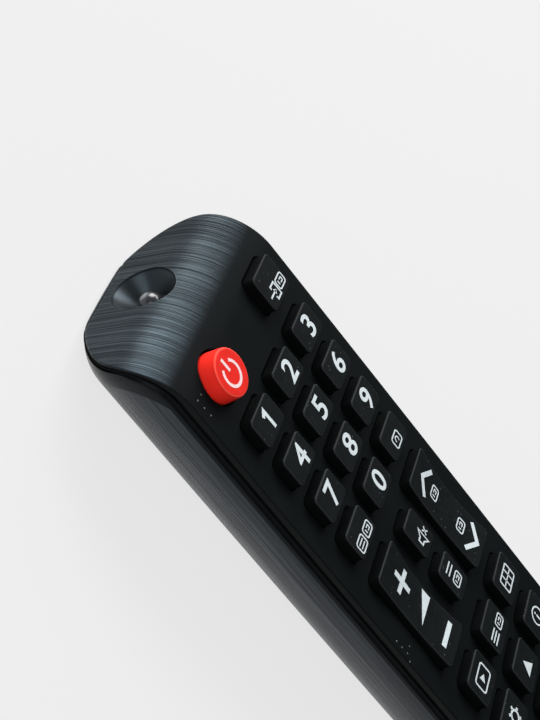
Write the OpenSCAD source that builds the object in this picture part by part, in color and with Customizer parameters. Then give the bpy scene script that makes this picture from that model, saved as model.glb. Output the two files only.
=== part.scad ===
// Hand-held infrared remote control for a television: two snapped covers, a rubber keypad on a
// circuit board, a light emitter in the nose and two small cells behind a sliding door.
// X is across, Y runs from the tail to the nose, Z is up from the underside.

/* [Body] */
// Overall length, tail to nose
body_l = 199; // [190:1:215]
// Width where the covers meet, halfway along
body_w = 48.4; // [47.6:0.2:54]
// How much each side draws in at the ends
side_bow = 0.6; // [0:0.1:1.2]
// Radius of the corners seen from above
corner_r = 5; // [4:0.5:9]
// Radius of the bowed nose and tail seen from above
end_bow_r = 260; // [120:5:400]
// Height of the key deck above the underside
deck_h = 20; // [18:0.1:23]
// Depth of the line where the covers meet below the deck
rim_drop = 2.8; // [2.4:0.1:3.4]
// Thickness of the cover walls
wall = 1.8; // [1.5:0.05:2]
// Reach of the rounded flank, from the side to the flat of the underside
flank_w = 13.5; // [12:0.5:15]
// Step from the lower cover's side in to the deck's side
deck_step = 0.5; // [0.2:0.1:0.8]
// Depth of the groove along the deck's side
groove_d = 0.5; // [0.2:0.1:0.8]
// Height of the groove along the deck's side
groove_h = 0.7; // [0.4:0.1:0.9]
// Thickness of the deck's edge above the groove
edge_t = 1.4; // [0.5:0.1:1.5]

/* [Nose and tail] */
// Radius of the roll from the deck to the nose face
nose_roll = 13.5; // [10:0.5:15]
// Lean of the nose face back from upright
nose_lean = 15; // [8:1:20]
// Radius of the meeting line where it follows the nose down
rim_roll = 9.5; // [7:0.5:11]
// Radius of the lower edge at nose and tail
foot_r = 1.2; // [0.8:0.1:2]
// Radius of the roll from the deck to the tail face
tail_roll = 4; // [3.5:0.5:8]
// Lean of the tail face back from upright
tail_lean = 8; // [4:1:14]
// Mouth radius of the dimple in the nose face
dimple_r = 6; // [5:0.1:6.4]
// Depth of the dimple
dimple_depth = 4; // [3:0.1:4.5]
// Height of the dimple's centre
dimple_h = 9; // [8.6:0.1:9.6]

/* [Keys] */
// Spacing of the three key columns
column_pitch = 13; // [12:0.1:13.6]
// Spacing of the number rows
number_pitch = 9.5; // [9:0.1:9.8]
// Spacing of the menu and arrow rows
menu_pitch = 11.5; // [10.4:0.1:11.8]
// Spacing of the coloured keys
colour_pitch = 9.6; // [9.2:0.1:9.8]
// Spacing of the two play rows
play_pitch = 9; // [8.4:0.1:9.6]
// Width of a key
key_w = 9; // [7.6:0.1:9]
// Length of a number key
number_l = 6.4; // [5:0.1:6.6]
// Length of a menu key and of the input key
menu_l = 7.8; // [6.5:0.1:8]
// Length of the coloured, function and play keys
short_l = 5; // [4.4:0.1:5.6]
// Width of a coloured key
colour_w = 7.4; // [6.5:0.1:7.6]
// Width of the two narrow keys between the rockers
narrow_w = 6.4; // [5.4:0.1:7]
// Length of the two narrow keys
narrow_l = 8.4; // [7.4:0.1:9]
// Distance of each narrow key from the rockers' middle
narrow_offset = 6; // [5.8:0.1:6.4]
// Radius of the power key
power_r = 4.8; // [4.2:0.1:5.2]
// Height of the power key above the other keys
power_extra = 0.6; // [0:0.1:1]
// Width of a rocker
rocker_w = 10.6; // [9.6:0.1:11]
// Length of a rocker
rocker_l = 24.4; // [22:0.2:25]
// How far a rocker's sides draw in halfway along
rocker_waist = 0.5; // [0.2:0.1:0.8]
// Depth of the hollow along a rocker's top
rocker_dish = 1; // [0.4:0.1:1.2]
// Height of the keys above the deck
key_rise = 2.3; // [1.8:0.1:3]
// Corner radius of the keys
key_corner = 1; // [0.6:0.1:1.6]
// Gap between a key and its hole
key_gap = 0.3; // [0.25:0.05:0.4]
// Extra gap at the ends of a rocker
rocker_gap = 0.5; // [0.45:0.05:0.7]
// Travel of a key
key_travel = 0.9; // [0.6:0.05:1]
// Reach of a key's flange under the deck
flange_w = 0.6; // [0.45:0.05:0.7]
// Thickness of a key's flange
flange_t = 1; // [0.8:0.05:1.1]
// Radius of the stem under a key
stem_r = 1.9; // [1.5:0.1:2]

/* [Key places] */
// From the nose tip to the middle of the power key
power_setback = 17.4; // [17:0.1:18]
// From the power key's row to the first number row
first_row_drop = 11.3; // [10.8:0.1:12]
// From the last number row to the rockers' middle
rocker_drop = 19.8; // [19.6:0.1:21]
// From the rockers' middle to the first menu row
menu_drop = 20.9; // [20.6:0.1:22]
// From the last menu row to the coloured keys
colour_drop = 10; // [9.6:0.1:11]
// From the coloured keys to the function keys
function_drop = 8.6; // [8.2:0.1:9.5]
// From the function keys to the first play row
play_drop = 9; // [8.4:0.1:9.6]
// Distance of each rocker from the middle
rocker_x = 12.7; // [12.4:0.1:13.2]

/* [Board and cells] */
// Thickness of the rubber mat under the keys
mat_t = 0.8; // [0.6:0.05:1]
// Thickness of the circuit board
board_t = 1.2; // [0.8:0.05:1.4]
// Length of a cell, terminal included
cell_l = 44.5; // [43.5:0.1:45]
// Diameter of a cell where the body has room for it
cell_d = 10.5; // [9:0.1:10.5]
// Least thickness of the roof over the cells
roof_t = 0.45; // [0.4:0.05:0.6]
// Length of a compressed contact spring
spring_l = 4.2; // [4:0.1:5]
// Wire diameter of a contact spring
spring_wire = 0.6; // [0.4:0.05:0.6]
// Thickness of the sheet metal contacts
contact_t = 0.4; // [0.3:0.05:0.6]
// From the tail tip to the cell bay
bay_setback = 15; // [13:0.5:18]
// Half width of the battery door at the underside
door_half = 12.2; // [12:0.1:12.8]
// Height of the door's end wall at the tail
door_rise = 9; // [7:0.5:10]
// Spread of the door's sloped edges
dovetail = 1.2; // [0.8:0.1:1.6]
// Diameter of the light emitter
emitter_d = 5; // [4:0.1:5]

/* [Clearances] */
// Gap between the deck and a key's flange, and other seats
seat_gap = 0.2; // [0.15:0.05:0.25]
// Gap left under a pressed key
stop_gap = 0.15; // [0.1:0.05:0.2]
// Gap round the battery door
door_gap = 0.25; // [0.2:0.05:0.3]
// Gap round each cell and each inner fitting
fit_gap = 0.4; // [0.3:0.05:0.5]

/* [Hidden] */
$fn = 48;
// Play in the seam behind the nose face
seam = 0.05;
nose_tip = body_l / 2;
reach = 2 * body_l;
roll_steps = 12;
corner_steps = 6;
bow_steps = 8;

// Heights of the keypad stack, from the deck down
part_h = deck_h - rim_drop;
deck_under = deck_h - wall;
flange_top = deck_under - seat_gap;
flange_base = flange_top - flange_t;
mat_top = flange_base - key_travel - stop_gap;
board_top = mat_top - mat_t;
board_base = board_top - board_t;
stem_base = board_top + key_travel + stop_gap;
key_top = deck_h + key_rise;

// Rows of keys, from the nose to the tail
power_y = nose_tip - power_setback;
number_y = power_y - first_row_drop;
rocker_y = number_y - 3 * number_pitch - rocker_drop;
menu_y = rocker_y - menu_drop;
colour_y = menu_y - 3 * menu_pitch - colour_drop;
function_y = colour_y - function_drop;
play_y = function_y - play_drop;

// Each plain key: name, column offset, row place, width, length and colour
black_rubber = [0.09, 0.1, 0.11];
function column(i) = (i - 1) * column_pitch;
number_names = ["number_1_key", "number_2_key", "number_3_key", "number_4_key", "number_5_key", "number_6_key",
    "number_7_key", "number_8_key", "number_9_key", "page_key", "number_0_key", "previous_key"];
menu_names = ["media_key", "menu_key", "guide_key", "tools_key", "up_key", "info_key",
    "left_key", "ok_key", "right_key", "back_key", "down_key", "exit_key"];
colour_names = ["red_key", "green_key", "yellow_key", "blue_key"];
colour_tones = ["firebrick", "forestgreen", "gold", "royalblue"];
function_names = ["function_left_key", "function_middle_key", "function_right_key"];
play_names = ["rewind_key", "pause_key", "forward_key", "record_key", "play_key", "stop_key"];
KEYS = concat(
    [["source_key", column(2), power_y, key_w, menu_l, black_rubber]],
    [for (i = [0:11]) [number_names[i], column(i % 3), number_y - floor(i / 3) * number_pitch,
        key_w, number_l, black_rubber]],
    [["mute_key", 0, rocker_y + narrow_offset, narrow_w, narrow_l, black_rubber],
     ["list_key", 0, rocker_y - narrow_offset, narrow_w, narrow_l, black_rubber]],
    [for (i = [0:11]) [menu_names[i], column(i % 3), menu_y - floor(i / 3) * menu_pitch,
        key_w, menu_l, black_rubber]],
    [for (i = [0:3]) [colour_names[i], (i - 1.5) * colour_pitch, colour_y, colour_w, short_l, colour_tones[i]]],
    [for (i = [0:2]) [function_names[i], column(i), function_y, key_w, short_l, black_rubber]],
    [for (i = [0:5]) [play_names[i], column(i % 3), play_y - floor(i / 3) * play_pitch,
        key_w, short_l, black_rubber]]);
ROCKERS = [["volume_rocker", -rocker_x], ["programme_rocker", rocker_x]];

// Points of an arc about [x, y], from one angle to another
function arc(x, y, r, from, to, steps) =
    [for (i = [0:steps]) let (a = from + (to - from) * i / steps) [x + r * cos(a), y + r * sin(a)]];
function reversed(pts) = [for (i = [len(pts) - 1:-1:0]) pts[i]];
function mirrored(pts) = [for (p = reversed(pts)) [-p[0], p[1]]];
function box_points(w, l, r) = concat(arc(w / 2 - r, l / 2 - r, r, 0, 90, 4), arc(r - w / 2, l / 2 - r, r, 90, 180, 4),
    arc(r - w / 2, r - l / 2, r, 180, 270, 4), arc(w / 2 - r, r - l / 2, r, 270, 360, 4));

// Outline from above, drawn in by an inset and its sides by a step more: bowed sides, round corners and bowed ends
function side_x(y) = body_w / 2 - side_bow * pow(y / nose_tip, 2);
bow_y = nose_tip - end_bow_r;
function nose_quarter(inset, step) = let (
        corner_x = side_x(nose_tip - corner_r) - corner_r - step,
        corner_y = bow_y + sqrt(pow(end_bow_r - corner_r, 2) - pow(corner_x, 2)),
        turn = atan2(corner_y - bow_y, corner_x),
        bow = arc(0, bow_y, end_bow_r - inset, turn, 90, bow_steps))
    concat([for (i = [0:bow_steps - 1]) let (y = corner_y * i / bow_steps) [side_x(y) - inset - step, y]],
        arc(corner_x, corner_y, corner_r - inset, 0, turn, corner_steps), [for (i = [1:bow_steps]) bow[i]]);
function plan(inset, step) = let (
        right = nose_quarter(inset, step), left = mirrored(right),
        nose = concat(right, [for (i = [1:len(left) - 1]) left[i]]))
    concat(nose, [for (p = reversed(nose)) if (p[1] > 0) [p[0], -p[1]]]);

// Side view of one end, from the deck round the roll, down the face and round its lower edge
function roll_y(h, roll, lean, depth) = nose_tip - foot_r
    + (foot_r - depth - roll - (h - roll - foot_r) * sin(lean)) / cos(lean);
function end_curve(roll, lean, inset) = let (
        edge_r = max(foot_r - inset, 0.2), edge_h = inset + edge_r,
        edge_y = nose_tip - foot_r + (foot_r - inset - edge_r - (edge_h - foot_r) * sin(lean)) / cos(lean),
        under = arc(edge_y, edge_h, edge_r, 0, -90, corner_steps))
    concat(arc(roll_y(deck_h, roll, lean, 0), deck_h - roll, roll - inset, 90, lean, roll_steps),
        arc(edge_y, edge_h, edge_r, lean, 0, 2), [for (i = [1:corner_steps]) under[i]]);
function profile(inset) = concat(end_curve(nose_roll, nose_lean, inset), mirrored(end_curve(tail_roll, tail_lean, inset)));

// Side view of all that lies above the meeting line, which is raised by a lift
function above_meeting(lift) =
    let (y = roll_y(part_h, rim_roll, nose_lean, wall + seam))
    concat([[-reach, part_h + lift]], arc(y, part_h - rim_roll, rim_roll + lift, 90, nose_lean, roll_steps),
        [[y + (rim_roll + lift + (part_h - rim_roll + reach) * sin(nose_lean)) / cos(nose_lean), -reach],
         [reach, -reach], [reach, reach], [-reach, reach]]);

// Cross-section of the lower cover: upright sides, elliptic flanks and a flat underside
function flank(inset) = [for (i = [0:roll_steps]) let (
        t = 90 * i / roll_steps, n = [cos(t) / flank_w, sin(t) / part_h], s = inset / norm(n))
    [body_w / 2 - flank_w + flank_w * cos(t) - s * n[0], part_h - part_h * sin(t) + s * n[1]]];
function section(inset) = concat([[body_w / 2 - inset, reach]], flank(inset), mirrored(flank(inset)),
    [[inset - body_w / 2, reach]]);

// Polygon drawn in side view, carried across the whole width
module across(points, width) {
    rotate([90, 0, 90]) linear_extrude(width, center = true) polygon(points);
}

// Polygon drawn in end view, carried along the whole length
module along(points, length) {
    rotate([90, 0, 0]) linear_extrude(length, center = true) polygon(points);
}

// Polygon seen from above, carried up between two heights
module upright(points, base, top) {
    translate([0, 0, base]) linear_extrude(top - base) polygon(points);
}

// Solid of the upper cover's outside, drawn in all round by an inset
module upper_form(inset) {
    intersection() {
        upright(plan(inset, deck_step), 0, deck_h + wall);
        across(profile(inset), body_w);
        along(section(inset), 2 * body_l);
    }
}

// Solid of the lower cover's outside, drawn in all round by an inset
module lower_form(inset) {
    intersection() {
        upright(plan(inset, 0), 0, deck_h);
        across(profile(inset), 2 * body_w);
        along(section(inset), 2 * body_l);
    }
}

// The dimple's own frame: its mouth on the nose face, Z along the face's outward normal
dimple_y = nose_tip - foot_r + (foot_r - (dimple_h - foot_r) * sin(nose_lean)) / cos(nose_lean);
emitter_r = emitter_d / 2;
emitter_hole_r = emitter_r + seat_gap;
dimple_floor_r = emitter_hole_r + 0.5;
emitter_h = dimple_h - dimple_depth * sin(nose_lean);
emitter_seat_y = dimple_y - dimple_depth * cos(nose_lean);
module at_dimple() {
    translate([0, dimple_y, dimple_h]) rotate([nose_lean - 90, 0, 0]) children();
}

// Cone of the dimple, grown by a margin, from its floor out past the nose face
module dimple_cone(margin, floor_t) {
    slope = (dimple_r - dimple_floor_r) / dimple_depth;
    proud = wall;
    at_dimple() translate([0, 0, -dimple_depth - floor_t]) cylinder(dimple_depth + floor_t + proud,
        dimple_floor_r - slope * floor_t + margin, dimple_r + slope * proud + margin);
}

// Hole in the deck for a plain key, and its outline grown by a margin
module key_outline(w, l, margin) {
    polygon(box_points(w + 2 * margin, l + 2 * margin, key_corner + margin));
}

// Outline of a rocker grown by a margin, with its sides drawn in towards the middle
rocker_steps = 10;
module rocker_outline(margin, end_margin) {
    half_l = rocker_l / 2 - key_corner;
    side = [for (i = [0:rocker_steps]) let (y = half_l * (2 * i / rocker_steps - 1))
        [rocker_w / 2 + margin - rocker_waist * (1 - pow(y / half_l, 2)), y]];
    corner = arc(rocker_w / 2 - key_corner, half_l, key_corner + margin, 15, 90, 4);
    end = [for (p = corner) [p[0], p[1] + end_margin - margin]];
    right = concat([for (p = reversed(end)) [p[0], -p[1]]], side, end);
    polygon(concat(right, mirrored(right)));
}

// The clips that hold the covers together
clip_l = 8;
clip_t = 1.2;
clip_drop = 3;
clip_rise = 1.4;
clip_places = [-0.62, -0.22, 0.22, 0.62];
clip_reach = wall + deck_step + clip_t + seat_gap;

// Sizes of the circuit board and what it carries
board_half = side_x(clip_places[3] * nose_tip) - clip_reach - fit_gap;
board_nose = roll_y(deck_h, nose_roll, nose_lean, 0);
board_tail = -nose_tip + wall + fit_gap + tail_roll / 2;
board_corner = 3;

// The cell bay: two cells side by side, one turned about, with a spring at each minus end
cell_r = min(cell_d, board_base - roof_t - wall - 2 * seat_gap - 2 * fit_gap) / 2;
cell_x = cell_r + fit_gap;
cell_h = wall + seat_gap + fit_gap + cell_r;
bay_l = cell_l + spring_l + 2 * contact_t + fit_gap;
bay_tail = -nose_tip + bay_setback;
bay_nose = bay_tail + bay_l;
bay_half = 2 * cell_x + fit_gap / 2;
bay_wall = 1;
bay_roof = cell_h + cell_r + fit_gap;
bay_roof_t = board_base - seat_gap - bay_roof;

// The groove along the sides, close under the deck's edge
module groove() {
    difference() {
        translate([-body_w, -reach, deck_h - edge_t - groove_h])
            cube([2 * body_w, reach + nose_tip - nose_roll, groove_h]);
        upright(plan(groove_d, deck_step), 0, deck_h);
    }
}

module top_cover() {
    color([0.1, 0.11, 0.12]) difference() {
        union() {
            difference() {
                intersection() {
                    upper_form(0);
                    across(above_meeting(0), 2 * body_w);
                }
                upper_form(wall);
                groove();
            }
            intersection() {
                dimple_cone(wall, wall);
                upper_form(wall / 2);
            }
            for (s = [-1, 1], c = clip_places) {
                x = side_x(c * nose_tip);
                inner = x - clip_reach;
                translate([s * (inner + clip_t / 2), c * nose_tip, part_h + (clip_rise - clip_drop) / 2])
                    cube([clip_t, clip_l, clip_rise + clip_drop], center = true);
                translate([s * (inner + x - wall) / 2, c * nose_tip, part_h + clip_rise * 0.75])
                    cube([x - wall - inner, clip_l, clip_rise / 2], center = true);
            }
        }
        dimple_cone(0, 0);
        translate([0, emitter_seat_y + wall, emitter_h]) rotate([90, 0, 0]) cylinder(4 * wall, r = emitter_hole_r);
        translate([column(0), power_y, flange_base]) cylinder(key_top, r = power_r + key_gap);
        for (k = KEYS) translate([k[1], k[2], flange_base])
            linear_extrude(key_top) key_outline(k[3], k[4], key_gap);
        for (r = ROCKERS) translate([r[1], rocker_y, flange_base])
            linear_extrude(key_top) rocker_outline(key_gap, rocker_gap);
    }
}

// End view of the door: sloped edges that a matching slot holds, and an upright end wall above them
function door_section(gap) =
    let (half = door_half + gap, wide = door_half + dovetail + gap, slope_top = wall, top = door_rise + gap)
    [[-half, -wall], [half, -wall], [half, 0], [wide, slope_top], [wide, top], [-wide, top], [-wide, slope_top], [-half, 0]];
door_nose = bay_nose + wall;

// The room that the door takes along its whole way out past the tail
module door_slot(gap, nose) {
    translate([0, (nose - reach) / 2, 0]) along(door_section(gap), reach + nose);
}

// The posts under the board, seated in the lower cover's floor
post_r = 2;
post_places = [[-0.72, 0.74], [0.72, 0.74], [-0.72, 0.1], [0.72, 0.1]];

module bottom_cover() {
    color([0.13, 0.14, 0.15]) {
        difference() {
            union() {
                difference() {
                    lower_form(0);
                    lower_form(wall);
                    door_slot(door_gap, door_nose + door_gap);
                }
                intersection() {
                    lower_form(wall / 2);
                    union() {
                        bay_shell();
                        for (p = post_places) translate([p[0] * board_half, p[1] * nose_tip, 0])
                            cylinder(board_base, r = post_r);
                    }
                }
            }
            across(above_meeting(0), 2 * body_w);
        }
    }
}

// Walls and roof of the cell bay, hung from the sides of the lower cover
bay_floor = wall + door_gap + seat_gap;
contact_slot_w = 3;
module bay_shell() {
    difference() {
        translate([-body_w / 2, bay_tail - bay_wall, bay_floor])
            cube([body_w, bay_l + 2 * bay_wall, bay_roof + bay_roof_t - bay_floor]);
        translate([-bay_half, bay_tail, 0]) cube([2 * bay_half, bay_l, bay_roof]);
        for (s = [-1, 1]) translate([s * (bay_half + bay_wall + body_w / 2), 0, 0])
            translate([-body_w / 2, bay_tail, 0]) cube([body_w, bay_l, bay_roof]);
        for (s = [-1, 1]) translate([s * cell_x - contact_slot_w / 2 - fit_gap, bay_nose - contact_t - fit_gap, 0])
            cube([contact_slot_w + 2 * fit_gap, contact_t + 2 * fit_gap, deck_h]);
        translate([-latch_w / 2 - fit_gap, bay_tail - 2 * bay_wall, 0])
            cube([latch_w + 2 * fit_gap, bay_l + 4 * bay_wall, wall + seat_gap + latch_t + fit_gap]);
    }
}

// Ridges for the thumb on the door
grip_count = 5;
grip_pitch = 2.2;
grip_w = 14;
grip_d = 0.5;
latch_w = 3;
latch_t = 1;
latch_reach = 1.6;

module battery_door() {
    color([0.13, 0.14, 0.15]) {
        difference() {
            intersection() {
                difference() {
                    lower_form(0);
                    lower_form(wall);
                }
                door_slot(0, door_nose);
            }
            for (i = [0:grip_count - 1]) translate([-grip_w / 2, bay_nose - (i + 2) * grip_pitch, -grip_d])
                cube([grip_w, grip_pitch / 2, 2 * grip_d]);
        }
        translate([-latch_w / 2, door_nose - 2 * latch_reach, wall])
            cube([latch_w, latch_reach, latch_t + seat_gap]);
        translate([-latch_w / 2, door_nose - 2 * latch_reach, wall + seat_gap])
            cube([latch_w, 3 * latch_reach, latch_t]);
    }
}

module board_outline(margin) {
    translate([0, (board_nose + board_tail) / 2])
        polygon(box_points(2 * (board_half - margin), board_nose - board_tail - 2 * margin, board_corner));
}

// Places of the stems: one under each key, two under each rocker
rocker_stem_y = rocker_l / 2 - 2 * stem_r;
STEMS = concat([[column(0), power_y]], [for (k = KEYS) [k[1], k[2]]],
    [for (r = ROCKERS, s = [-1, 1]) [r[1], rocker_y + s * rocker_stem_y]]);

module keypad_mat() {
    color([0.2, 0.21, 0.22]) translate([0, 0, board_top]) linear_extrude(mat_t) difference() {
        board_outline(fit_gap);
        for (p = STEMS) translate(p) circle(stem_r + fit_gap);
    }
}

module circuit_board() {
    color("darkgreen") translate([0, 0, board_base]) linear_extrude(board_t) board_outline(0);
}

// Parts soldered under the board, between the cell bay and the nose
chip_w = 7.5;
chip_l = 18;
chip_t = 2.2;
part_y = (bay_nose + board_nose) / 2;
module under_board(x, y, w, l, t) {
    translate([x - w / 2, y - l / 2, board_base - t]) cube([w, l, t]);
}

module control_chip() {
    leg_w = 0.5;
    leg_l = 1.2;
    leg_t = 0.6;
    leg_pitch = 1.27;
    leg_rows = 13;
    color([0.12, 0.12, 0.13]) {
        under_board(0, part_y, chip_w, chip_l, chip_t);
        for (s = [-1, 1], i = [0:leg_rows - 1])
            under_board(s * (chip_w + leg_l) / 2, part_y + (i - (leg_rows - 1) / 2) * leg_pitch, leg_l, leg_w, leg_t);
    }
}

module resonator() {
    case_w = 6;
    case_l = 3.2;
    case_t = 4.5;
    color("goldenrod") under_board(-chip_w - fit_gap, part_y + chip_l, case_w, case_l, case_t);
}

module capacitor() {
    can_r = 2.5;
    can_l = 9;
    foot_t = 0.4;
    color("midnightblue") {
        translate([chip_w + fit_gap, part_y + chip_l + can_l / 2, board_base - foot_t - can_r])
            rotate([90, 0, 0]) cylinder(can_l, r = can_r);
        under_board(chip_w + fit_gap, part_y + chip_l, can_r, can_l / 2, foot_t + can_r / 2);
    }
}

module driver_transistor() {
    case_w = 4.4;
    case_l = 3.6;
    case_t = 3.2;
    edge = 2.4;
    color([0.12, 0.12, 0.13]) under_board(0, board_nose - edge - case_l / 2, case_w, case_l, case_t);
}

module resistors() {
    count = 6;
    pitch = 3.4;
    case_w = 1.3;
    case_l = 2.1;
    case_t = 0.6;
    color([0.12, 0.12, 0.13]) for (i = [0:count - 1])
        under_board((i - (count - 1) / 2) * pitch, part_y - chip_l, case_w, case_l, case_t);
}

module ir_emitter() {
    lead_w = 0.5;
    lead_x = 1.27;
    collar = 0.4;
    collar_t = 1;
    body_len = 6.2;
    back_y = emitter_seat_y - body_len;
    lead_y = back_y - 2;
    color([0.55, 0.6, 0.68]) {
        translate([0, back_y, emitter_h]) rotate([-90, 0, 0]) {
            cylinder(body_len, r = emitter_r);
            cylinder(collar_t, r = emitter_r + collar);
            translate([0, 0, body_len]) intersection() {
                sphere(emitter_r);
                cylinder(emitter_d, r = emitter_d);
            }
        }
        for (s = [-1, 1]) translate([s * lead_x - lead_w / 2, lead_y, emitter_h - lead_w / 2]) {
            cube([lead_w, back_y - lead_y + collar_t / 2, lead_w]);
            cube([lead_w, lead_w, board_base - emitter_h + lead_w / 2]);
        }
    }
}

// One cell lying along Y, its plus end towards the nose, its minus end at the origin
cell_nub_r = 1.9;
cell_nub_l = 0.8;
module cell() {
    rotate([-90, 0, 0]) {
        cylinder(cell_l - cell_nub_l, r = cell_r);
        cylinder(cell_l, r = cell_nub_r);
    }
}

// Both cells rest against their plates, so the springs fill the rest of the bay
module battery_left() {
    color("silver") translate([-cell_x, bay_nose - contact_t - seat_gap - cell_l, cell_h]) cell();
}

module battery_right() {
    color("silver") translate([cell_x, bay_tail + contact_t + seat_gap + cell_l, cell_h]) rotate([0, 0, 180]) cell();
}

// Cone spring as one round wire swept along a shrinking helix, its axis along +Y from the origin
spring_turns = 3;
spring_base_r = 3.4;
spring_tip_r = 2.2;
ring_steps = 12;
wire_sides = 6;
rings = spring_turns * ring_steps;
function wire_place(i, length) = let (
        f = i / rings, r = spring_base_r + (spring_tip_r - spring_base_r) * f, a = 360 * spring_turns * f)
    [r * cos(a), spring_wire / 2 + (length - spring_wire) * f, r * sin(a)];
module cone_spring(length) {
    least = min([for (i = [0:rings - ring_steps]) norm(wire_place(i + ring_steps, length) - wire_place(i, length))]);
    echo(spring_turn_gap = least - spring_wire);
    points = [for (i = [0:rings], j = [0:wire_sides - 1]) let (
            a = 360 * spring_turns * i / rings, b = 360 * j / wire_sides, out = [cos(a), 0, sin(a)])
        wire_place(i, length) + spring_wire / 2 * (cos(b) * out + sin(b) * [0, 1, 0])];
    sides = [for (i = [0:rings - 1], j = [0:wire_sides - 1], h = [0, 1]) let (
            a = i * wire_sides + j, b = i * wire_sides + (j + 1) % wire_sides, c = a + wire_sides, d = b + wire_sides)
        h == 0 ? [a, d, b] : [a, c, d]];
    start = [for (j = [1:wire_sides - 2]) [0, j, j + 1]];
    last = rings * wire_sides;
    end = [for (j = [1:wire_sides - 2]) [last, last + j + 1, last + j]];
    polyhedron(points, concat(sides, start, end));
}
spring_space = bay_l - cell_l - 2 * contact_t - seat_gap;
plate_w = 8;
plate_h = 8;
module contact_plate(x, y) {
    translate([x - plate_w / 2, y, cell_h - plate_h / 2]) cube([plate_w, contact_t, plate_h]);
}

// Tab from a plate up through the bay's roof to the underside of the board
module contact_tab(x) {
    translate([x - contact_slot_w / 2, bay_nose - contact_t, cell_h]) cube([contact_slot_w, contact_t, board_base - cell_h]);
}

module positive_contact() {
    color("lightgray") {
        contact_plate(-cell_x, bay_nose - contact_t);
        contact_tab(-cell_x);
    }
}

module negative_contact() {
    color("lightgray") {
        contact_plate(cell_x, bay_nose - contact_t);
        contact_tab(cell_x);
        translate([cell_x, bay_nose - contact_t - seat_gap, cell_h]) mirror([0, 1, 0])
            cone_spring(spring_space - 2 * seat_gap);
    }
}

module link_contact() {
    color("lightgray") {
        contact_plate(-cell_x, bay_tail);
        contact_plate(cell_x, bay_tail);
        translate([-cell_x, bay_tail, cell_h - contact_slot_w / 2]) cube([2 * cell_x, contact_t, contact_slot_w]);
        translate([-cell_x, bay_tail + contact_t + seat_gap, cell_h]) cone_spring(spring_space - 2 * seat_gap);
    }
}

// What is common to a key: cap and flange of a given outline, cut to the deck's underside, and a stem
module key_parts(top) {
    translate([0, 0, flange_base]) linear_extrude(top - flange_base) children(0);
    translate([0, 0, stem_base]) cylinder(flange_base - stem_base, r = stem_r);
}

module flange(x, y) {
    intersection() {
        translate([x, y, flange_base]) linear_extrude(deck_h) children();
        across(profile(wall + seat_gap), body_w);
    }
}

module key(k) {
    color(k[5]) {
        translate([k[1], k[2], 0]) key_parts(key_top) key_outline(k[3], k[4], 0);
        flange(k[1], k[2]) key_outline(k[3], k[4], key_gap + flange_w);
    }
}

module power_key() {
    color([0.88, 0.16, 0.13]) {
        translate([column(0), power_y, 0]) key_parts(key_top + power_extra) circle(power_r);
        flange(column(0), power_y) circle(power_r + key_gap + flange_w);
    }
}

// A rocker tips on a round rib that lies across the mat, with short flanges beside the rib
rib_r = 1;
rib_h = mat_top + seat_gap + rib_r;
rocker_base = rib_h;
rocker_flange_l = 5;
rocker_lift = 0.2;
module rocker(x) {
    top = [for (i = [0:rocker_steps]) let (y = rocker_l * (i / rocker_steps - 0.5))
        [rocker_y + y, key_top - rocker_dish * (1 - pow(2 * y / rocker_l, 2))]];
    color(black_rubber) {
        intersection() {
            translate([x, rocker_y, rocker_base]) linear_extrude(key_top) rocker_outline(0, 0);
            across(concat(top, [[rocker_y + rocker_l, 0], [rocker_y - rocker_l, 0]]), body_w);
        }
        translate([x, rocker_y, rib_h]) rotate([0, 90, 0]) cylinder(rocker_w - 2 * key_corner, r = rib_r, center = true);
        translate([x, rocker_y, 0]) upright(box_points(rocker_w + 2 * (key_gap + flange_w), rocker_flange_l, key_corner),
            rocker_base, flange_top - rocker_lift);
        for (s = [-1, 1]) translate([x, rocker_y + s * rocker_stem_y, stem_base + stop_gap])
            cylinder(rocker_base - stem_base, r = stem_r);
    }
}

top_cover();
bottom_cover();
battery_door();
keypad_mat();
circuit_board();
control_chip();
resonator();
capacitor();
driver_transistor();
resistors();
ir_emitter();
battery_left();
battery_right();
positive_contact();
negative_contact();
link_contact();
power_key();
for (r = ROCKERS) rocker(r[1]);
for (k = KEYS) key(k);
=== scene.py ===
import bpy
import bmesh
import numpy as np
from mathutils import Matrix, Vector
from mathutils.geometry import delaunay_2d_cdt


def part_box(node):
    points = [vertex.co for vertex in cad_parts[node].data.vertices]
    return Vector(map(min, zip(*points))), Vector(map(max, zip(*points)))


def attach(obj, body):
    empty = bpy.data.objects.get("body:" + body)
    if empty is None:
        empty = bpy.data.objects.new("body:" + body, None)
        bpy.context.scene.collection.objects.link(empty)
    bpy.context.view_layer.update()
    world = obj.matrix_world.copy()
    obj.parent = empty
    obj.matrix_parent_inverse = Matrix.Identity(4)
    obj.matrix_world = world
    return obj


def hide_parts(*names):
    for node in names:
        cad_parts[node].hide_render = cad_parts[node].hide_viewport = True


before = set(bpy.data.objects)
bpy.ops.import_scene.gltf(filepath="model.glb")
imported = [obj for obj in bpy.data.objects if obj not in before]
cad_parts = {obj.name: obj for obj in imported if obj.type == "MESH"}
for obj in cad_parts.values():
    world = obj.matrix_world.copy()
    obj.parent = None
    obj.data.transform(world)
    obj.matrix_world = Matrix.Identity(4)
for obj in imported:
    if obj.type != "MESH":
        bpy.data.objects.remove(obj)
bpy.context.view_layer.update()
scene = bpy.context.scene
scene.view_settings.view_transform = "Standard"


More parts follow.
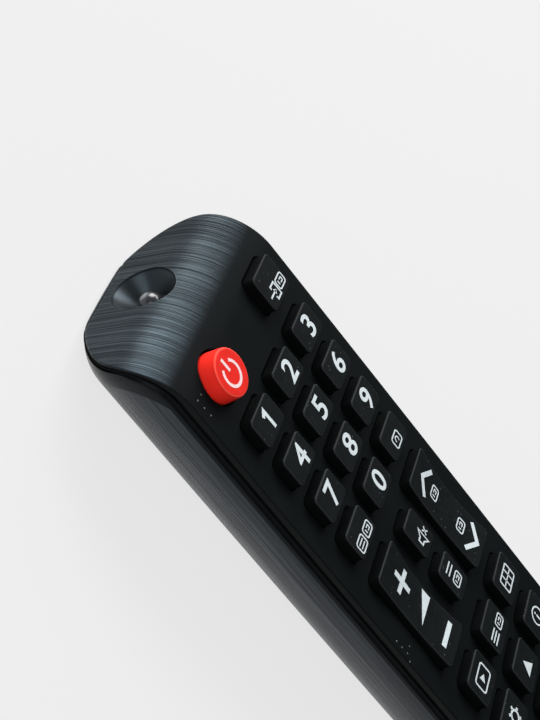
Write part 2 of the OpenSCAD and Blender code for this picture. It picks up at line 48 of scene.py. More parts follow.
# The view of the photograph: a close look across the nose from its left side, held slantwise.
# The lens is a short telephoto, and the long side of the picture is its height.
view_lens = bpy.data.cameras.new("photo_view")
view_lens.lens = 85.62
view_lens.sensor_width = 36.0
view_lens.clip_start = 0.01
camera = bpy.data.objects.new("photo_view", view_lens)
camera.matrix_world = Matrix(((0.2755, 0.6267, -0.7289, -0.2206), (-0.5806, 0.7128, 0.3934, 0.1935),
                              (0.7661, 0.3148, 0.5603, 0.1903), (0.0, 0.0, 0.0, 1.0)))
scene.collection.objects.link(camera)
scene.camera = camera


# The stage: a pale sheet under the remote and a pale room round it, with three soft square lamps:
# a low window ahead on the far side, one above the far side and a weak fill from the near side.
# The sheet glows most of its own colour, so the shadow on it stays faint.
class Wire:
    """A socket of a material's node tree; sums and products of wires and numbers add Math nodes."""

    def __init__(self, tree, socket=None):
        self.tree, self.socket = tree, socket

    def node(self, kind, settings=None, inputs=None, output=0):
        """Adds a node, sets its settings, then its sockets' values or links, and gives one of its outputs."""
        made = self.tree.nodes.new(kind)
        for key, value in (settings or {}).items():
            setattr(made, key, value)
        for key, value in (inputs or {}).items():
            if isinstance(value, Wire):
                self.tree.links.new(value.socket, made.inputs[key])
            else:
                made.inputs[key].default_value = value
        return Wire(self.tree, made.outputs[output])

    def maths(self, operation, *values):
        return self.node("ShaderNodeMath", {"operation": operation}, dict(enumerate(values)))

    def __add__(self, other):
        return self.maths("ADD", self, other)

    def __radd__(self, other):
        return self.maths("ADD", other, self)

    def __sub__(self, other):
        return self.maths("SUBTRACT", self, other)

    def __rsub__(self, other):
        return self.maths("SUBTRACT", other, self)

    def __mul__(self, other):
        return self.maths("MULTIPLY", self, other)

    def __rmul__(self, other):
        return self.maths("MULTIPLY", other, self)

    def rise(self, low, high):
        """Goes smoothly from 0 at low to 1 at high."""
        ends = {0: self, 1: low, 2: high}
        return self.node("ShaderNodeMapRange", {"interpolation_type": "SMOOTHSTEP"}, ends)

    def blend(self, first, second):
        """Mixes two colours by this value."""
        return self.node("ShaderNodeMix", {"data_type": "RGBA"}, {0: self, 6: first, 7: second}, 2)

    def noise(self, x, y, z, detail=2.0, rough=0.5):
        """Noise of three lengths given in grains, so a long grain is a small number there."""
        spot = self.node("ShaderNodeCombineXYZ", None, {0: x, 1: y, 2: z})
        inputs = {"Vector": spot, "Scale": 1.0, "Detail": detail, "Roughness": rough}
        return self.node("ShaderNodeTexNoise", None, inputs)

    def grain(self, place, size, detail=2.0, rough=0.5):
        """Noise with the same number of grains in a millimetre all ways."""
        return self.noise(*(part * size for part in place), detail, rough)

    def bump(self, height, strength, depth):
        return self.node("ShaderNodeBump", None, {"Height": height, "Strength": strength, "Distance": depth})

    def surface(self, colour, rough, gloss, **more):
        """A principled surface: colour, roughness, gloss, and more sockets by name with _ for a space."""
        inputs = {"Base Color": colour, "Roughness": rough, "Specular IOR Level": gloss}
        inputs.update((key.replace("_", " "), value) for key, value in more.items())
        return self.node("ShaderNodeBsdfPrincipled", None, inputs)

    def mix(self, share, first, second):
        """A shader between two, by the share of the second."""
        return self.node("ShaderNodeMixShader", None, {0: share, 1: first, 2: second})


def grey(red, green=None, blue=None):
    """A colour for a socket, from numbers on the linear scale."""
    return (red, red if green is None else green, red if blue is None else blue, 1.0)


def seen_ray(wire):
    """One for a ray that shows what it meets: from the camera, a gloss or through glass."""
    shown = [wire.node("ShaderNodeLightPath", None, None, kind)
             for kind in ("Is Camera Ray", "Is Glossy Ray", "Is Transmission Ray")]
    return shown[0].maths("MAXIMUM", shown[0].maths("MAXIMUM", shown[0], shown[1]), shown[2])


seen_tone, lit_tone, mirror_tone = grey(0.85), grey(0.32), grey(0.15, 0.16, 0.17)
room = bpy.data.worlds.new("pale_room")
room.use_nodes = True
room.node_tree.nodes.clear()
air = Wire(room.node_tree)
seen = air.node("ShaderNodeLightPath", None, None, "Is Camera Ray")
mirrored = air.node("ShaderNodeLightPath", None, None, "Is Glossy Ray")
room_tone = seen.blend(mirrored.blend(lit_tone, mirror_tone), seen_tone)
room_light = air.node("ShaderNodeBackground", None, {"Color": room_tone, "Strength": 1.0})
room_end = room.node_tree.nodes.new("ShaderNodeOutputWorld")
room.node_tree.links.new(room_light.socket, room_end.inputs["Surface"])
scene.world = room


def new_finish(name):
    """An empty material and a wire to build on."""
    made = bpy.data.materials.new(name)
    made.use_nodes = True
    made.node_tree.nodes.clear()
    return made, Wire(made.node_tree)


def seal(wire, shader):
    """Ends a material with its shader."""
    end = wire.tree.nodes.new("ShaderNodeOutputMaterial")
    wire.tree.links.new(shader.socket, end.inputs["Surface"])


def spot(wire):
    """Where a point of the piece is, as three wires in millimetres."""
    place = wire.node("ShaderNodeTexCoord", None, None, "Object")
    parts = [wire.node("ShaderNodeSeparateXYZ", None, {0: place}, k) for k in range(3)]
    return [part * 1000.0 for part in parts]


sheet_finish, w = new_finish("pale_sheet")
sheet_glow = w.node("ShaderNodeEmission", None, {"Color": grey(0.925), "Strength": 1.0})
sheet_paint = w.node("ShaderNodeBsdfDiffuse", None, {"Color": grey(0.42)})
seal(w, w.mix(seen_ray(w) * 0.80, sheet_paint, sheet_glow))
sheet_half, sheet_z = 4.0, -0.0002
corners = [(x * sheet_half, y * sheet_half, sheet_z) for x, y in ((-1, -1), (1, -1), (1, 1), (-1, 1))]
sheet_mesh = bpy.data.meshes.new("pale_sheet")
sheet_mesh.from_pydata(corners, [], [(0, 1, 2, 3)])
sheet_mesh.materials.append(sheet_finish)
sheet = bpy.data.objects.new("pale_sheet", sheet_mesh)
scene.collection.objects.link(sheet)


def lamp(name, place, aim, size, power):
    """A square soft lamp that faces a point."""
    light = bpy.data.lights.new(name, "AREA")
    light.shape, light.size, light.energy = "SQUARE", size, power
    made = bpy.data.objects.new(name, light)
    away = np.array(place) - np.array(aim)
    away = away / np.linalg.norm(away)
    side = np.cross((0.0, 0.0, 1.0), away)
    side = side / np.linalg.norm(side)
    up = np.cross(away, side)
    made.matrix_world = Matrix([[side[k], up[k], away[k], place[k]] for k in range(3)] + [[0, 0, 0, 1]])
    scene.collection.objects.link(made)


lamp("window", (0.64, 0.70, 0.325), (0.0, 0.09, 0.012), 0.54, 9.6)
lamp("ceiling", (0.60, 0.19, 0.60), (0.0, 0.06, 0.012), 0.50, 6.6)
lamp("fill", (-0.55, 0.45, 0.40), (0.0, 0.06, 0.012), 0.50, 3.0)


# The upper cover: one black moulding with a flat key deck that rolls over into a leaning nose face.
# The nose is brushed, the deck is spark-finished matt, and a groove parts its side from the lower cover.
# Its skin is a surface in two lengths, across and along, with openings for the keys and the dimple.
tip, foot, deck_h, nose_roll, lean = 99.5, 1.2, 20.0, 13.5, np.radians(15.0)
corner_r, bow_r, face_bow_r, side_bow, half_w, deck_step = 4.2, 260.0, 900.0, 0.6, 24.2, 0.5
part_h, rim_roll, rim_depth, groove_d, flank_w = 17.2, 9.5, 1.1, 0.5, 13.5
low_corner_r, low_corner_z, halvings = 7.0, 10.0, 44
roll_y = tip - foot + (foot - nose_roll - (deck_h - nose_roll - foot) * np.sin(lean)) / np.cos(lean)
turn_y, turn_z = roll_y + nose_roll * np.cos(lean), deck_h - nose_roll + nose_roll * np.sin(lean)
turn_s = roll_y + nose_roll * (np.pi / 2 - lean)


def bow(x):
    """How far the roll and face fall back at a distance from the middle: the sag of a wide circle."""
    return face_bow_r - np.sqrt(face_bow_r ** 2 - np.asarray(x) ** 2)


def side_x(y):
    """Half the width along the body: it draws in with the square of the distance from the middle."""
    return half_w - side_bow * (np.asarray(y) / tip) ** 2


def deck_place(x, s):
    """The top skin: s runs along the deck, round the roll and down the face; the bow shifts it back."""
    a = np.clip((s - roll_y) / nose_roll, 0.0, np.pi / 2 - lean)
    d = np.maximum(s - turn_s, 0.0)
    y = np.minimum(np.minimum(s, roll_y) + nose_roll * np.sin(a) + d * np.sin(lean) - bow(x), tip)
    z = deck_h - nose_roll * (1.0 - np.cos(a)) - d * np.cos(lean)
    return np.stack([x + 0.0 * s, y, z], -1)


def deck_way(x, y):
    """The length s along the top skin of a point given in plan: the inverse of deck_place."""
    full = y + bow(x)
    a = np.arcsin(np.clip((full - roll_y) / nose_roll, 0.0, np.cos(lean)))
    return np.minimum(full, roll_y) + nose_roll * a + np.maximum(full - turn_y, 0.0) / np.sin(lean)


def deck_height(x, y):
    return deck_place(x, deck_way(x, y))[..., 2]


def both_sides(right):
    """Closes a right half, from tail middle to nose middle, with its mirror image."""
    left = right[..., -2:0:-1, :].copy()
    left[..., 0] *= -1.0
    return np.concatenate([right, left], -2)


def end_quarter(end, step, round_steps=22, bow_steps=20):
    """A quarter of the plan outline at one end, from the side round to the middle, with its normals."""
    cx = side_x(tip - corner_r) - corner_r - step
    by = end - bow_r
    cy = by + np.sqrt((bow_r - corner_r) ** 2 - cx ** 2)
    turn = np.arctan2(cy - by, cx)
    a, b = np.linspace(0, turn, round_steps), np.linspace(turn, np.pi / 2, bow_steps)[1:]
    normal = np.stack([np.cos(np.r_[a, b]), np.sin(np.r_[a, b])], -1)
    centre = np.r_[np.tile([cx, cy], (len(a), 1)), np.tile([0.0, by], (len(b), 1))]
    return centre + normal * np.r_[np.full(len(a), corner_r), np.full(len(b), bow_r)][:, None], normal


def key_outline(w, l, r, steps=7):
    """Outline of a key and its normals: a box with round corners, from its near middle round to the far."""
    a = np.linspace(-np.pi / 2, 0, steps)
    low = np.stack([w / 2 - r + r * np.cos(a), r - l / 2 + r * np.sin(a)], -1)
    low_n = np.stack([np.cos(a), np.sin(a)], -1)
    flip = np.array([1.0, -1.0])
    right = np.r_[[[0, -l / 2]], low, low[::-1] * flip, [[0, l / 2]]]
    right_n = np.r_[[[0, -1.0]], low_n, low_n[::-1] * flip, [[0, 1.0]]]
    return both_sides(right), both_sides(right_n)


def rocker_outline(w, l, waist, r=1.0, steps=17):
    """Outline of a rocker and its normals: its long sides draw in towards the middle as a parabola."""
    reach = l / 2 - r
    y = np.linspace(-reach, reach, steps)
    side = np.stack([w / 2 - waist * (1 - (y / reach) ** 2), y], -1)
    side_n = np.stack([np.ones_like(y), -2 * waist * y / reach ** 2], -1)
    side_n /= np.linalg.norm(side_n, axis=1)[:, None]
    a = np.linspace(np.arctan2(side_n[-1, 1], side_n[-1, 0]), np.pi / 2, 8)[1:]
    arc_n = np.stack([np.cos(a), np.sin(a)], -1)
    arc = side[-1] - r * side_n[-1] + r * arc_n
    flip = np.array([1.0, -1.0])
    end = arc[-1:] * [0.0, 1.0]
    right = np.r_[end * flip, arc[::-1] * flip, side, arc, end]
    right_n = np.r_[[[0, -1.0]], arc_n[::-1] * flip, side_n, arc_n, [[0, 1.0]]]
    return both_sides(right), both_sides(right_n)


def lattice(rows, cols, wrap=True, flip=False):
    """Four-sided faces of a grid of points, closed round its columns when wrap is set."""
    i, j = np.meshgrid(np.arange(rows - 1), np.arange(cols if wrap else cols - 1), indexing="ij")
    k = (j + 1) % cols
    quads = np.stack([i * cols + j, i * cols + k, (i + 1) * cols + k, (i + 1) * cols + j], -1).reshape(-1, 4)
    return quads[:, ::-1] if flip else quads


def piece(name, patches, finish, body, sharp=32.0, weld=1e-4):
    """One object from patches of points and faces: near points are welded, pinched faces made triangles."""
    points = np.concatenate([p.reshape(-1, 3) for p, f in patches])
    starts = np.cumsum([0] + [p.reshape(-1, 3).shape[0] for p, f in patches])
    cells = np.round(points / weld).astype(np.int64)
    _, first, back = np.unique(cells, axis=0, return_index=True, return_inverse=True)
    back = back.reshape(-1)
    faces = []
    for start, (p, f) in zip(starts, patches):
        f = back[f + start]
        same = f == np.roll(f, -1, axis=1)
        faces += f[same.sum(1) == 0].tolist()
        pinched = same.sum(1) == 1
        if f.shape[1] == 4 and pinched.any():
            faces += f[pinched][~same[pinched]].reshape(-1, 3).tolist()
    mesh = bpy.data.meshes.new(name)
    mesh.from_pydata((points[first] * 0.001).tolist(), [], faces)
    mesh.shade_smooth()
    mesh.set_sharp_from_angle(angle=np.radians(sharp))
    mesh.materials.append(finish)
    made = bpy.data.objects.new(name, mesh)
    scene.collection.objects.link(made)
    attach(made, body)
    return made


def closed(rows):
    """A closed form from loops stacked upwards: walls, with strips from side to side as floor and lid."""
    count, n = rows.shape[:2]
    strip = np.arange(n // 2)
    lid = np.stack([strip, strip + 1, (n - strip - 1) % n, (n - strip) % n], -1)
    return rows, np.concatenate([lattice(count, n), lid[:, ::-1], lid + (count - 1) * n])


def flank_in(z):
    """How far the flank draws in at a height: a quarter of an ellipse below the meeting line."""
    return flank_w * (1 - np.sqrt(np.maximum(1 - ((part_h - np.clip(z, 0, part_h)) / part_h) ** 2, 0)))


def profile_at(top, roll, depth, a, d):
    """A nose profile in side view: a turn by angle a round its roll, then a length d down its lean."""
    y0 = tip - foot + (foot - depth - roll - (top - roll - foot) * np.sin(lean)) / np.cos(lean)
    return y0 + roll * np.sin(a) + d * np.sin(lean), top - roll * (1 - np.cos(a)) - d * np.cos(lean)


def corner_at(z):
    """Radius of the hull's upright corners, wider low down: a smooth step with the height."""
    t = np.clip(np.asarray(z) / low_corner_z, 0, 1)
    return low_corner_r + (corner_r - low_corner_r) * t * t * (3 - 2 * t)


def nose_half(z, y, step, ahead):
    """Half width where a nose profile meets the hull's bow or round corner at its height, by halving."""
    r = corner_at(z)
    cx = side_x(np.minimum(y, tip - corner_r)) - r - flank_in(z) - step
    cy = tip + ahead - bow_r + np.sqrt((bow_r - r) ** 2 - cx ** 2)
    meet = cx * bow_r / (bow_r - r)
    low, high = np.zeros_like(cx), cx + r
    for _ in range(halvings):
        mid = (low + high) / 2
        front = np.where(mid < meet, tip + ahead - bow_r + np.sqrt(bow_r ** 2 - mid ** 2),
                         cy + np.sqrt(np.maximum(r ** 2 - np.maximum(mid - cx, 0) ** 2, 0)))
        wider = front + bow(mid) > y
        low, high = np.where(wider, mid, low), np.where(wider, high, mid)
    return low


arc_steps, face_steps, across_steps = 34, 26, 14


def nose_edge(top, roll, depth, step, last, ahead):
    """The line where a nose profile meets the hull, from the side down to a height, then to the middle."""
    full = np.pi / 2 - lean
    a = np.r_[np.linspace(0, full, arc_steps), np.full(face_steps, full)]
    end = (profile_at(top, roll, depth, full, 0.0)[1] - last) / np.cos(lean)
    d = np.r_[np.zeros(arc_steps), end * (1 - np.linspace(1, 0, face_steps + 1)[1:] ** 1.6)]
    y, z = profile_at(top, roll, depth, a, d)
    x = nose_half(z, y, step, ahead)
    x = np.r_[x, x[-1] * np.linspace(1, 0, across_steps + 1)[1:]]
    y, z, a, d = (np.r_[v, np.full(across_steps, v[-1])] for v in (y, z, a, d))
    return np.stack([x, np.minimum(y - bow(x), tip), z], -1), a, d


tail_end, side_end, crest_last, crest_ahead, rim_last = 97.5, 40.0, 1.45, 0.25, 0.6
tail_edge, tail_out = end_quarter(tail_end, deck_step)
tail_edge, tail_out = tail_edge[::-1] * [1, -1], tail_out[::-1] * [1, -1]
crest, crest_a, crest_d = nose_edge(deck_h, nose_roll, 0.0, deck_step, crest_last, crest_ahead)
rim, _, _ = nose_edge(part_h, rim_roll, rim_depth, deck_step, rim_last, 0.0)
share = np.linspace(0, 1, 80)[1:-1]
crest_y = tail_edge[-1, 1] + share * (crest[0, 1] - tail_edge[-1, 1])
rim_y = crest_y + (rim[0, 1] - crest[0, 1]) * np.clip((crest_y - side_end) / (crest[0, 1] - side_end), 0, 1)
crest_s = np.r_[tail_edge[:, 1] + bow(tail_edge[:, 0]), crest_y + bow(side_x(crest_y) - deck_step),
                roll_y + nose_roll * crest_a + crest_d]
crest_x = np.r_[tail_edge[:, 0], side_x(crest_y) - deck_step, crest[:, 0]]
crest_way = both_sides(np.stack([crest_x, crest_s], -1))
rim_side = np.stack([side_x(rim_y) - deck_step, rim_y, np.full(len(rim_y), part_h)], -1)
rim_line = both_sides(np.concatenate([np.c_[tail_edge, np.full(len(tail_edge), part_h)], rim_side, rim]))
tail_fillet, side_fillet, nose_fillet, face_fillet, widen_steps, smooth = 2.2, 0.3, 0.26, 0.6, 20, 7
fillet = np.r_[side_fillet * tail_out[:, 0] + tail_fillet * tail_out[:, 1] ** 2,
               np.full(len(share), side_fillet),
               np.full(arc_steps + face_steps - widen_steps, nose_fillet),
               np.linspace(nose_fillet, face_fillet, widen_steps), np.full(across_steps, face_fillet)]
fillet = np.convolve(np.pad(fillet, smooth // 2, mode="edge"), np.ones(smooth) / smooth, "valid")
fillet = both_sides(np.stack([fillet * 0, fillet], -1))[:, 1]
border = fillet + np.clip(fillet, 0.15, 0.35)


def outward(loop):
    """Unit normals to the right of a closed path's run in two dimensions."""
    run = np.roll(loop, -1, axis=0) - np.roll(loop, 1, axis=0)
    return np.stack([run[:, 1], -run[:, 0]], -1) / np.linalg.norm(run, axis=1)[:, None]


way_out, wall_out = outward(crest_way), np.c_[outward(rim_line[:, :2]), np.zeros(len(rim_line))]


def skin_ring(inset):
    """The crest drawn in along the top skin."""
    at = crest_way - way_out * np.reshape(inset, (-1, 1))
    return deck_place(at[:, 0], at[:, 1])


crest_line = skin_ring(np.zeros(len(crest_way)))
fall = rim_line - crest_line
fall_l = np.linalg.norm(fall, axis=1)
below = crest_line + fall * (fillet / np.maximum(fall_l, 0.3))[:, None]
start = skin_ring(fillet)
wall_rows = [skin_ring(border)]
wall_rows += [start * (1 - t) ** 2 + crest_line * 2 * t * (1 - t) + below * t ** 2
              for t in np.linspace(0, 1, 7)]
sunk = groove_d * np.clip(fall_l / (deck_h - part_h), 0.05, 1.0)[:, None]
groove_steps = ((0.30, 0.0, 0.0), (0.48, 0.0, 0.0), (0.50, 0.15, 0.0), (0.51, 1.0, 0.0), (0.74, 1.0, 0.0),
                (0.75, 0.15, 0.0), (0.77, 0.0, 0.02), (0.90, 0.0, 0.10), (0.98, 0.0, 0.28), (1.03, 0.0, 0.36))
for part, depth, flare in groove_steps:
    wall_rows.append(crest_line + fall * part - wall_out * (sunk * depth - flare))
edge_wall = np.stack(wall_rows)

key_gap, key_corner, power_r, rocker_size, rocker_waist = 0.3, 1.0, 4.8, (10.6, 24.4), 0.5
rockers = ("volume_rocker", "programme_rocker")
key_kinds = (((9.0, 6.4), ["number_%d" % k for k in range(10)] + ["page", "previous"]),
             ((9.0, 7.8), "source media menu guide tools up info left ok right back down exit".split()),
             ((6.4, 8.4), ["mute", "list"]),
             ((7.4, 5.0), ["red", "green", "yellow", "blue"]),
             ((9.0, 5.0), ["function_left", "function_middle", "function_right"]),
             ((9.0, 5.0), "rewind pause forward record play stop".split()))
key_size = {name + "_key": size for size, names in key_kinds for name in names}


def middle(node):
    """The plan centre of a CAD node's box, in millimetres."""
    low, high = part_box(node)
    return np.array([(low[0] + high[0]) * 500.0, (low[1] + high[1]) * 500.0])


def opening(node):
    """Outline of a key at its place, with its normals."""
    if node == "power_key":
        at, out = key_outline(2 * power_r, 2 * power_r, power_r, 15)
    elif node in rockers:
        at, out = rocker_outline(*rocker_size, rocker_waist)
    else:
        at, out = key_outline(*key_size[node], key_corner)
    return at + middle(node), out


lip_border, lip_r, lip_depth = 0.32, 0.18, 2.2


def lip(node):
    """The rounded edge and wall of a key's opening: loops from the deck inwards and down."""
    at, out = opening(node)
    turns = np.linspace(np.pi / 2, 0, 4)[1:]
    rows = [(lip_border, 0.0), (lip_r, 0.0)]
    rows += [(lip_r * (1 - np.cos(a)), lip_r * (1 - np.sin(a))) for a in turns] + [(0.0, lip_depth)]
    rows = [(at + out * (key_gap + o), d) for o, d in rows]
    return np.stack([np.c_[p, deck_height(p[:, 0], p[:, 1]) - d] for p, d in rows])


lips = {node: lip(node) for node in ["power_key", *rockers, *key_size]}

dimple_h, dimple_r, dimple_depth, dimple_floor = 9.0, 6.0, 4.0, 3.2
dimple_y = tip - foot + (foot - (dimple_h - foot) * np.sin(lean)) / np.cos(lean)
face_out, face_up = np.array([0, np.cos(lean), np.sin(lean)]), np.array([0, -np.sin(lean), np.cos(lean)])
round_way = np.linspace(0, 2 * np.pi, 96, endpoint=False)


def dimple_rim(r):
    """A circle seen straight at the nose face, laid on the top skin: the face below, the roll above."""
    a, b = r * np.cos(round_way), r * np.sin(round_way) - (turn_z - dimple_h) / np.cos(lean)
    s = turn_s - np.where(b < 0, b, nose_roll * np.arcsin(np.clip(b / nose_roll, -1, 1)))
    return a, s


def dimple_disc(r, depth):
    """A circle of the dimple's own axis at a depth below the face."""
    middle_at = np.array([0, dimple_y, dimple_h]) - face_out * depth
    return middle_at + r * np.cos(round_way)[:, None] * [1, 0, 0] + r * np.sin(round_way)[:, None] * face_up


rim_border, hole_r = 0.3, 2.62
rim_loop = deck_place(*dimple_rim(dimple_r))
floor_loop = dimple_disc(dimple_floor, dimple_depth)
cone_rows = [deck_place(*dimple_rim(dimple_r + out)) for out in (rim_border, 0.05)]
cone_rows += [rim_loop - face_out * 0.06]
cone_rows += [rim_loop * (1 - t) + floor_loop * t for t in np.linspace(0.04, 1, 9)]
hole_steps = (0.10, 0.0), (0.0, 0.12), (0.0, 2.0)
cone_rows += [dimple_disc(hole_r + out, dimple_depth + down) for out, down in hole_steps]
cone = np.stack(cone_rows)

loops = [crest_way - way_out * np.reshape(border, (-1, 1))]
loops += [np.stack([rows[0][:, 0], deck_way(rows[0][:, 0], rows[0][:, 1])], -1) for rows in lips.values()]
loops += [np.stack(dimple_rim(dimple_r + rim_border), -1)]


def inside(points, rings):
    """Even-odd rule: a point is inside when a ray from it crosses the rings an odd number of times."""
    a = np.concatenate(rings)
    b = np.concatenate([np.roll(r, -1, axis=0) for r in rings])
    over = (a[None, :, 1] > points[:, None, 1]) != (b[None, :, 1] > points[:, None, 1])
    rise = np.where(a[:, 1] == b[:, 1], 1.0, b[:, 1] - a[:, 1])
    cross = a[None, :, 0] + (points[:, None, 1] - a[None, :, 1]) / rise * (b[:, 0] - a[:, 0])[None, :]
    return (over & (points[:, None, 0] < cross)).sum(1) % 2 == 1


grow = [loops[0] * [0.985, 1.0]] + [(r - r.mean(0)) * 1.06 + r.mean(0) for r in loops[1:]]
fill_x, fill_s = np.arange(-22.4, 22.5, 1.6), np.arange(roll_y - 2.5, loops[0][:, 1].max() - 0.4, 0.5)
fill = np.stack(np.meshgrid(fill_x, fill_s), -1).reshape(-1, 2)
fill = fill[inside(fill, grow)]
flat = np.concatenate(loops + [fill])
ends = np.cumsum([0] + [len(r) for r in loops])
rails = np.concatenate([np.stack([np.arange(len(r)), (np.arange(len(r)) + 1) % len(r)], -1) + e
                        for r, e in zip(loops, ends)])
made_at, _, made_faces = delaunay_2d_cdt(flat.tolist(), rails.tolist(), [], 0, 1e-7, False)[:3]
made_at, made_faces = np.array([tuple(p) for p in made_at]), np.array(made_faces)
made_faces = made_faces[inside(made_at[made_faces].mean(1), loops)]
first, second, third = (made_at[made_faces[:, k]] for k in range(3))
turned = np.cross(second - first, third - first)
made_faces = np.where((turned < 0)[:, None], made_faces[:, ::-1], made_faces)
deck_skin = deck_place(made_at[:, 0], made_at[:, 1])

upper_finish, w = new_finish("upper_cover_plastic")
x, y, z = place = spot(w)
way = y - z
strand = w.noise(x * 2.1, way * 0.014, 0.0, 3.0, 0.62)
hair = w.noise(x * 5.4, way * 0.03, 4.0, 1.0, 0.5)
spark, cloud = w.grain(place, 5.0, 2.0, 0.7), w.grain(place, 0.12)
off_y, off_z = y - dimple_y, z - dimple_h
from_axis = w.maths("SQRT", x * x + off_y * off_y + off_z * off_z)
brushed = (y + z * -0.9 - 66.0).rise(5.4, 10.8)
dimple_edge = from_axis.rise(5.70, 5.86) * (1.0 - from_axis.rise(6.02, 6.20))
in_dimple = 1.0 - (from_axis - 6.3).rise(-0.25, 0.0)
fine = (strand * 0.55 + hair * 0.45).rise(0.40, 0.62)
matt_tones = grey(0.0036, 0.0047, 0.0053), grey(0.0056, 0.0069, 0.0076)
bright_tones = grey(0.008, 0.0108, 0.0136), grey(0.017, 0.0222, 0.0280)
cone_tones = grey(0.006, 0.0068, 0.0074), grey(0.009, 0.0102, 0.011)
dull_tone, brush_tint, cone_tint = grey(0.0056, 0.0074, 0.0090), grey(0.50, 0.82, 1.0), grey(0.66, 0.87, 1.0)
bright_look = w.surface(fine.blend(*bright_tones), 0.30 + cloud * 0.06, 0.29,
                        Specular_Tint=brush_tint, Normal=w.bump(fine, 0.25, 0.00010))
dull_look = w.surface(dull_tone, 0.48 + hair * 0.10, 0.05, Specular_Tint=brush_tint)
# Painted highlight: the share of the shiny look falls with x, so the roll's highlight is brighter on the near
# side (-x) than on the far side.
brush_look = w.mix(0.10 + fine * 0.80 - x * 0.008, dull_look, bright_look)
matt_tone = (spark * 0.6 + cloud * 0.4).rise(0.3, 0.75).blend(*matt_tones)
matt_look = w.surface(matt_tone, 0.52 + spark * 0.16, 0.02, Normal=w.bump(spark, 0.25, 0.00005))
cone_look = w.surface(cloud.blend(*cone_tones), 0.34 + spark * 0.06, 0.36, Specular_Tint=cone_tint)
hollowed = w.mix(in_dimple, w.mix(brushed, matt_look, brush_look), cone_look)
seal(w, w.mix(dimple_edge * 0.85, hollowed, dull_look))

crest_row = 6
patches = [(deck_skin, made_faces), (cone, lattice(*cone.shape[:2], flip=True)),
           (edge_wall[:crest_row + 1], lattice(crest_row + 1, edge_wall.shape[1], flip=True))]
patches += [(rows, lattice(*rows.shape[:2])) for rows in lips.values()]
upper = piece("upper_cover", patches, upper_finish, "case")
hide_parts("top_cover")

edge_finish, w = new_finish("cover_edge_gloss")
x, y, z = spot(w)
smear = w.noise(x * 0.9, y * 0.25, z * 0.9, 3.0, 0.6)
edge_tones = grey(0.0032, 0.0038, 0.0041), grey(0.0048, 0.0056, 0.0060)
seal(w, w.surface(smear.rise(0.3, 0.7).blend(*edge_tones), 0.26 + smear * 0.16, 0.06,
                  Normal=w.bump(smear, 0.06, 0.00005)))
band = edge_wall[crest_row:]
cover_edge = piece("cover_edge", [(band, lattice(*band.shape[:2], flip=True))], edge_finish, "case")


# The lower cover: a dark grey moulding with rounded flanks, brushed along its length, open for the cells.
# It is worked out as an outer and an inner form, and the door's room is cut through its floor and tail.
# A bay for the cells stands in it, trimmed to the inside of the hull.
tail_lean, wall = np.radians(8.0), 1.8
halves = (20, 20, 70, 20, 20)


def end_at(z, slope):
    """How far an end reaches at a height: a round lower edge, then a plane that leans."""
    turn = foot * (1 + np.sin(slope))
    arc = tip - foot + np.sqrt(np.maximum(foot ** 2 - (foot - np.minimum(z, turn)) ** 2, 0))
    return np.where(z < turn, arc, tip - foot + (foot - (z - foot) * np.sin(slope)) / np.cos(slope))


def level(z, draw_in, squeeze):
    """Right half of the lower cover's outline at heights z: bowed ends, round corners, drawn-in sides."""
    cut = np.split(np.arange(sum(halves)), np.cumsum(halves)[:-1])
    share = [np.linspace(1, 0, halves[0]), np.linspace(1, 0, halves[1] + 1)[1:]]
    share += [np.linspace(0, 1, n + 1)[1:] for n in halves[2:]]
    def corner(k, slope):
        by, r = end_at(z[:, k], slope) - bow_r, corner_at(z[:, k])
        cx = side_x(tip - corner_r) - squeeze[:, k] - r
        cy = by + np.sqrt((bow_r - r) ** 2 - cx ** 2)
        return by, cx, cy, np.arctan2(cy - by, cx), r - draw_in
    def rounded(k, f, slope):
        by, cx, cy, turn, r = corner(k, slope)
        return np.stack([cx + r * np.cos(f * turn), cy + r * np.sin(f * turn)], -1)
    def bowed(k, f, slope):
        by, cx, cy, turn, r = corner(k, slope)
        a = turn + f * (np.pi / 2 - turn)
        return np.stack([(bow_r - draw_in) * np.cos(a), by + (bow_r - draw_in) * np.sin(a)], -1)
    flip = np.array([1.0, -1.0])
    tail_y, nose_y = -corner(cut[2], tail_lean)[2], corner(cut[2], 0.0)[2]
    y = tail_y + share[2] * (nose_y - tail_y)
    side = np.stack([side_x(y) - squeeze[:, cut[2]] - draw_in, y], -1)
    tail = [bowed(cut[0], share[0], tail_lean) * flip, rounded(cut[1], share[1], tail_lean) * flip]
    nose = [rounded(cut[3], share[3], 0.0), bowed(cut[4], share[4], 0.0)]
    plan = np.concatenate(tail + [side] + nose, 1)
    plan[:, 0, 0] = plan[:, -1, 0] = 0.0
    return np.concatenate([plan, z[..., None]], -1)


count, rim_round = sum(halves), 0.16
turn_at = profile_at(part_h, rim_roll, rim_depth, np.pi / 2 - lean, 0.0)
start_y = profile_at(part_h, rim_roll, rim_depth, 0.0, 0.0)[0]
low, high = np.full((1, count), 0.85), np.full((1, count), part_h)
for _ in range(halvings):
    mid = (low + high) / 2
    at = level(mid, 0.0, flank_in(mid))
    arc_z = np.maximum(mid, turn_at[1]) - part_h + rim_roll
    arc_y = start_y + np.sqrt(np.maximum(rim_roll ** 2 - arc_z ** 2, 0))
    rim_at = np.where(mid > turn_at[1], arc_y, turn_at[0] + (turn_at[1] - mid) * np.tan(lean))
    under = at[..., 1] + bow(at[..., 0]) < rim_at
    low, high = np.where(under, mid, low), np.where(under, high, mid)
spread = low[0]
lift = (1 - np.cos(np.linspace(0, np.pi / 2, 30)))[:, None]
outer_z = spread * lift * (1 - rim_round / part_h)
outer_rows = np.concatenate([level(outer_z, 0.0, flank_in(outer_z)),
                             level(spread[None] - 0.05, 0.05, flank_in(spread[None])),
                             level(spread[None] + 0.0, 0.18, flank_in(spread[None]))])


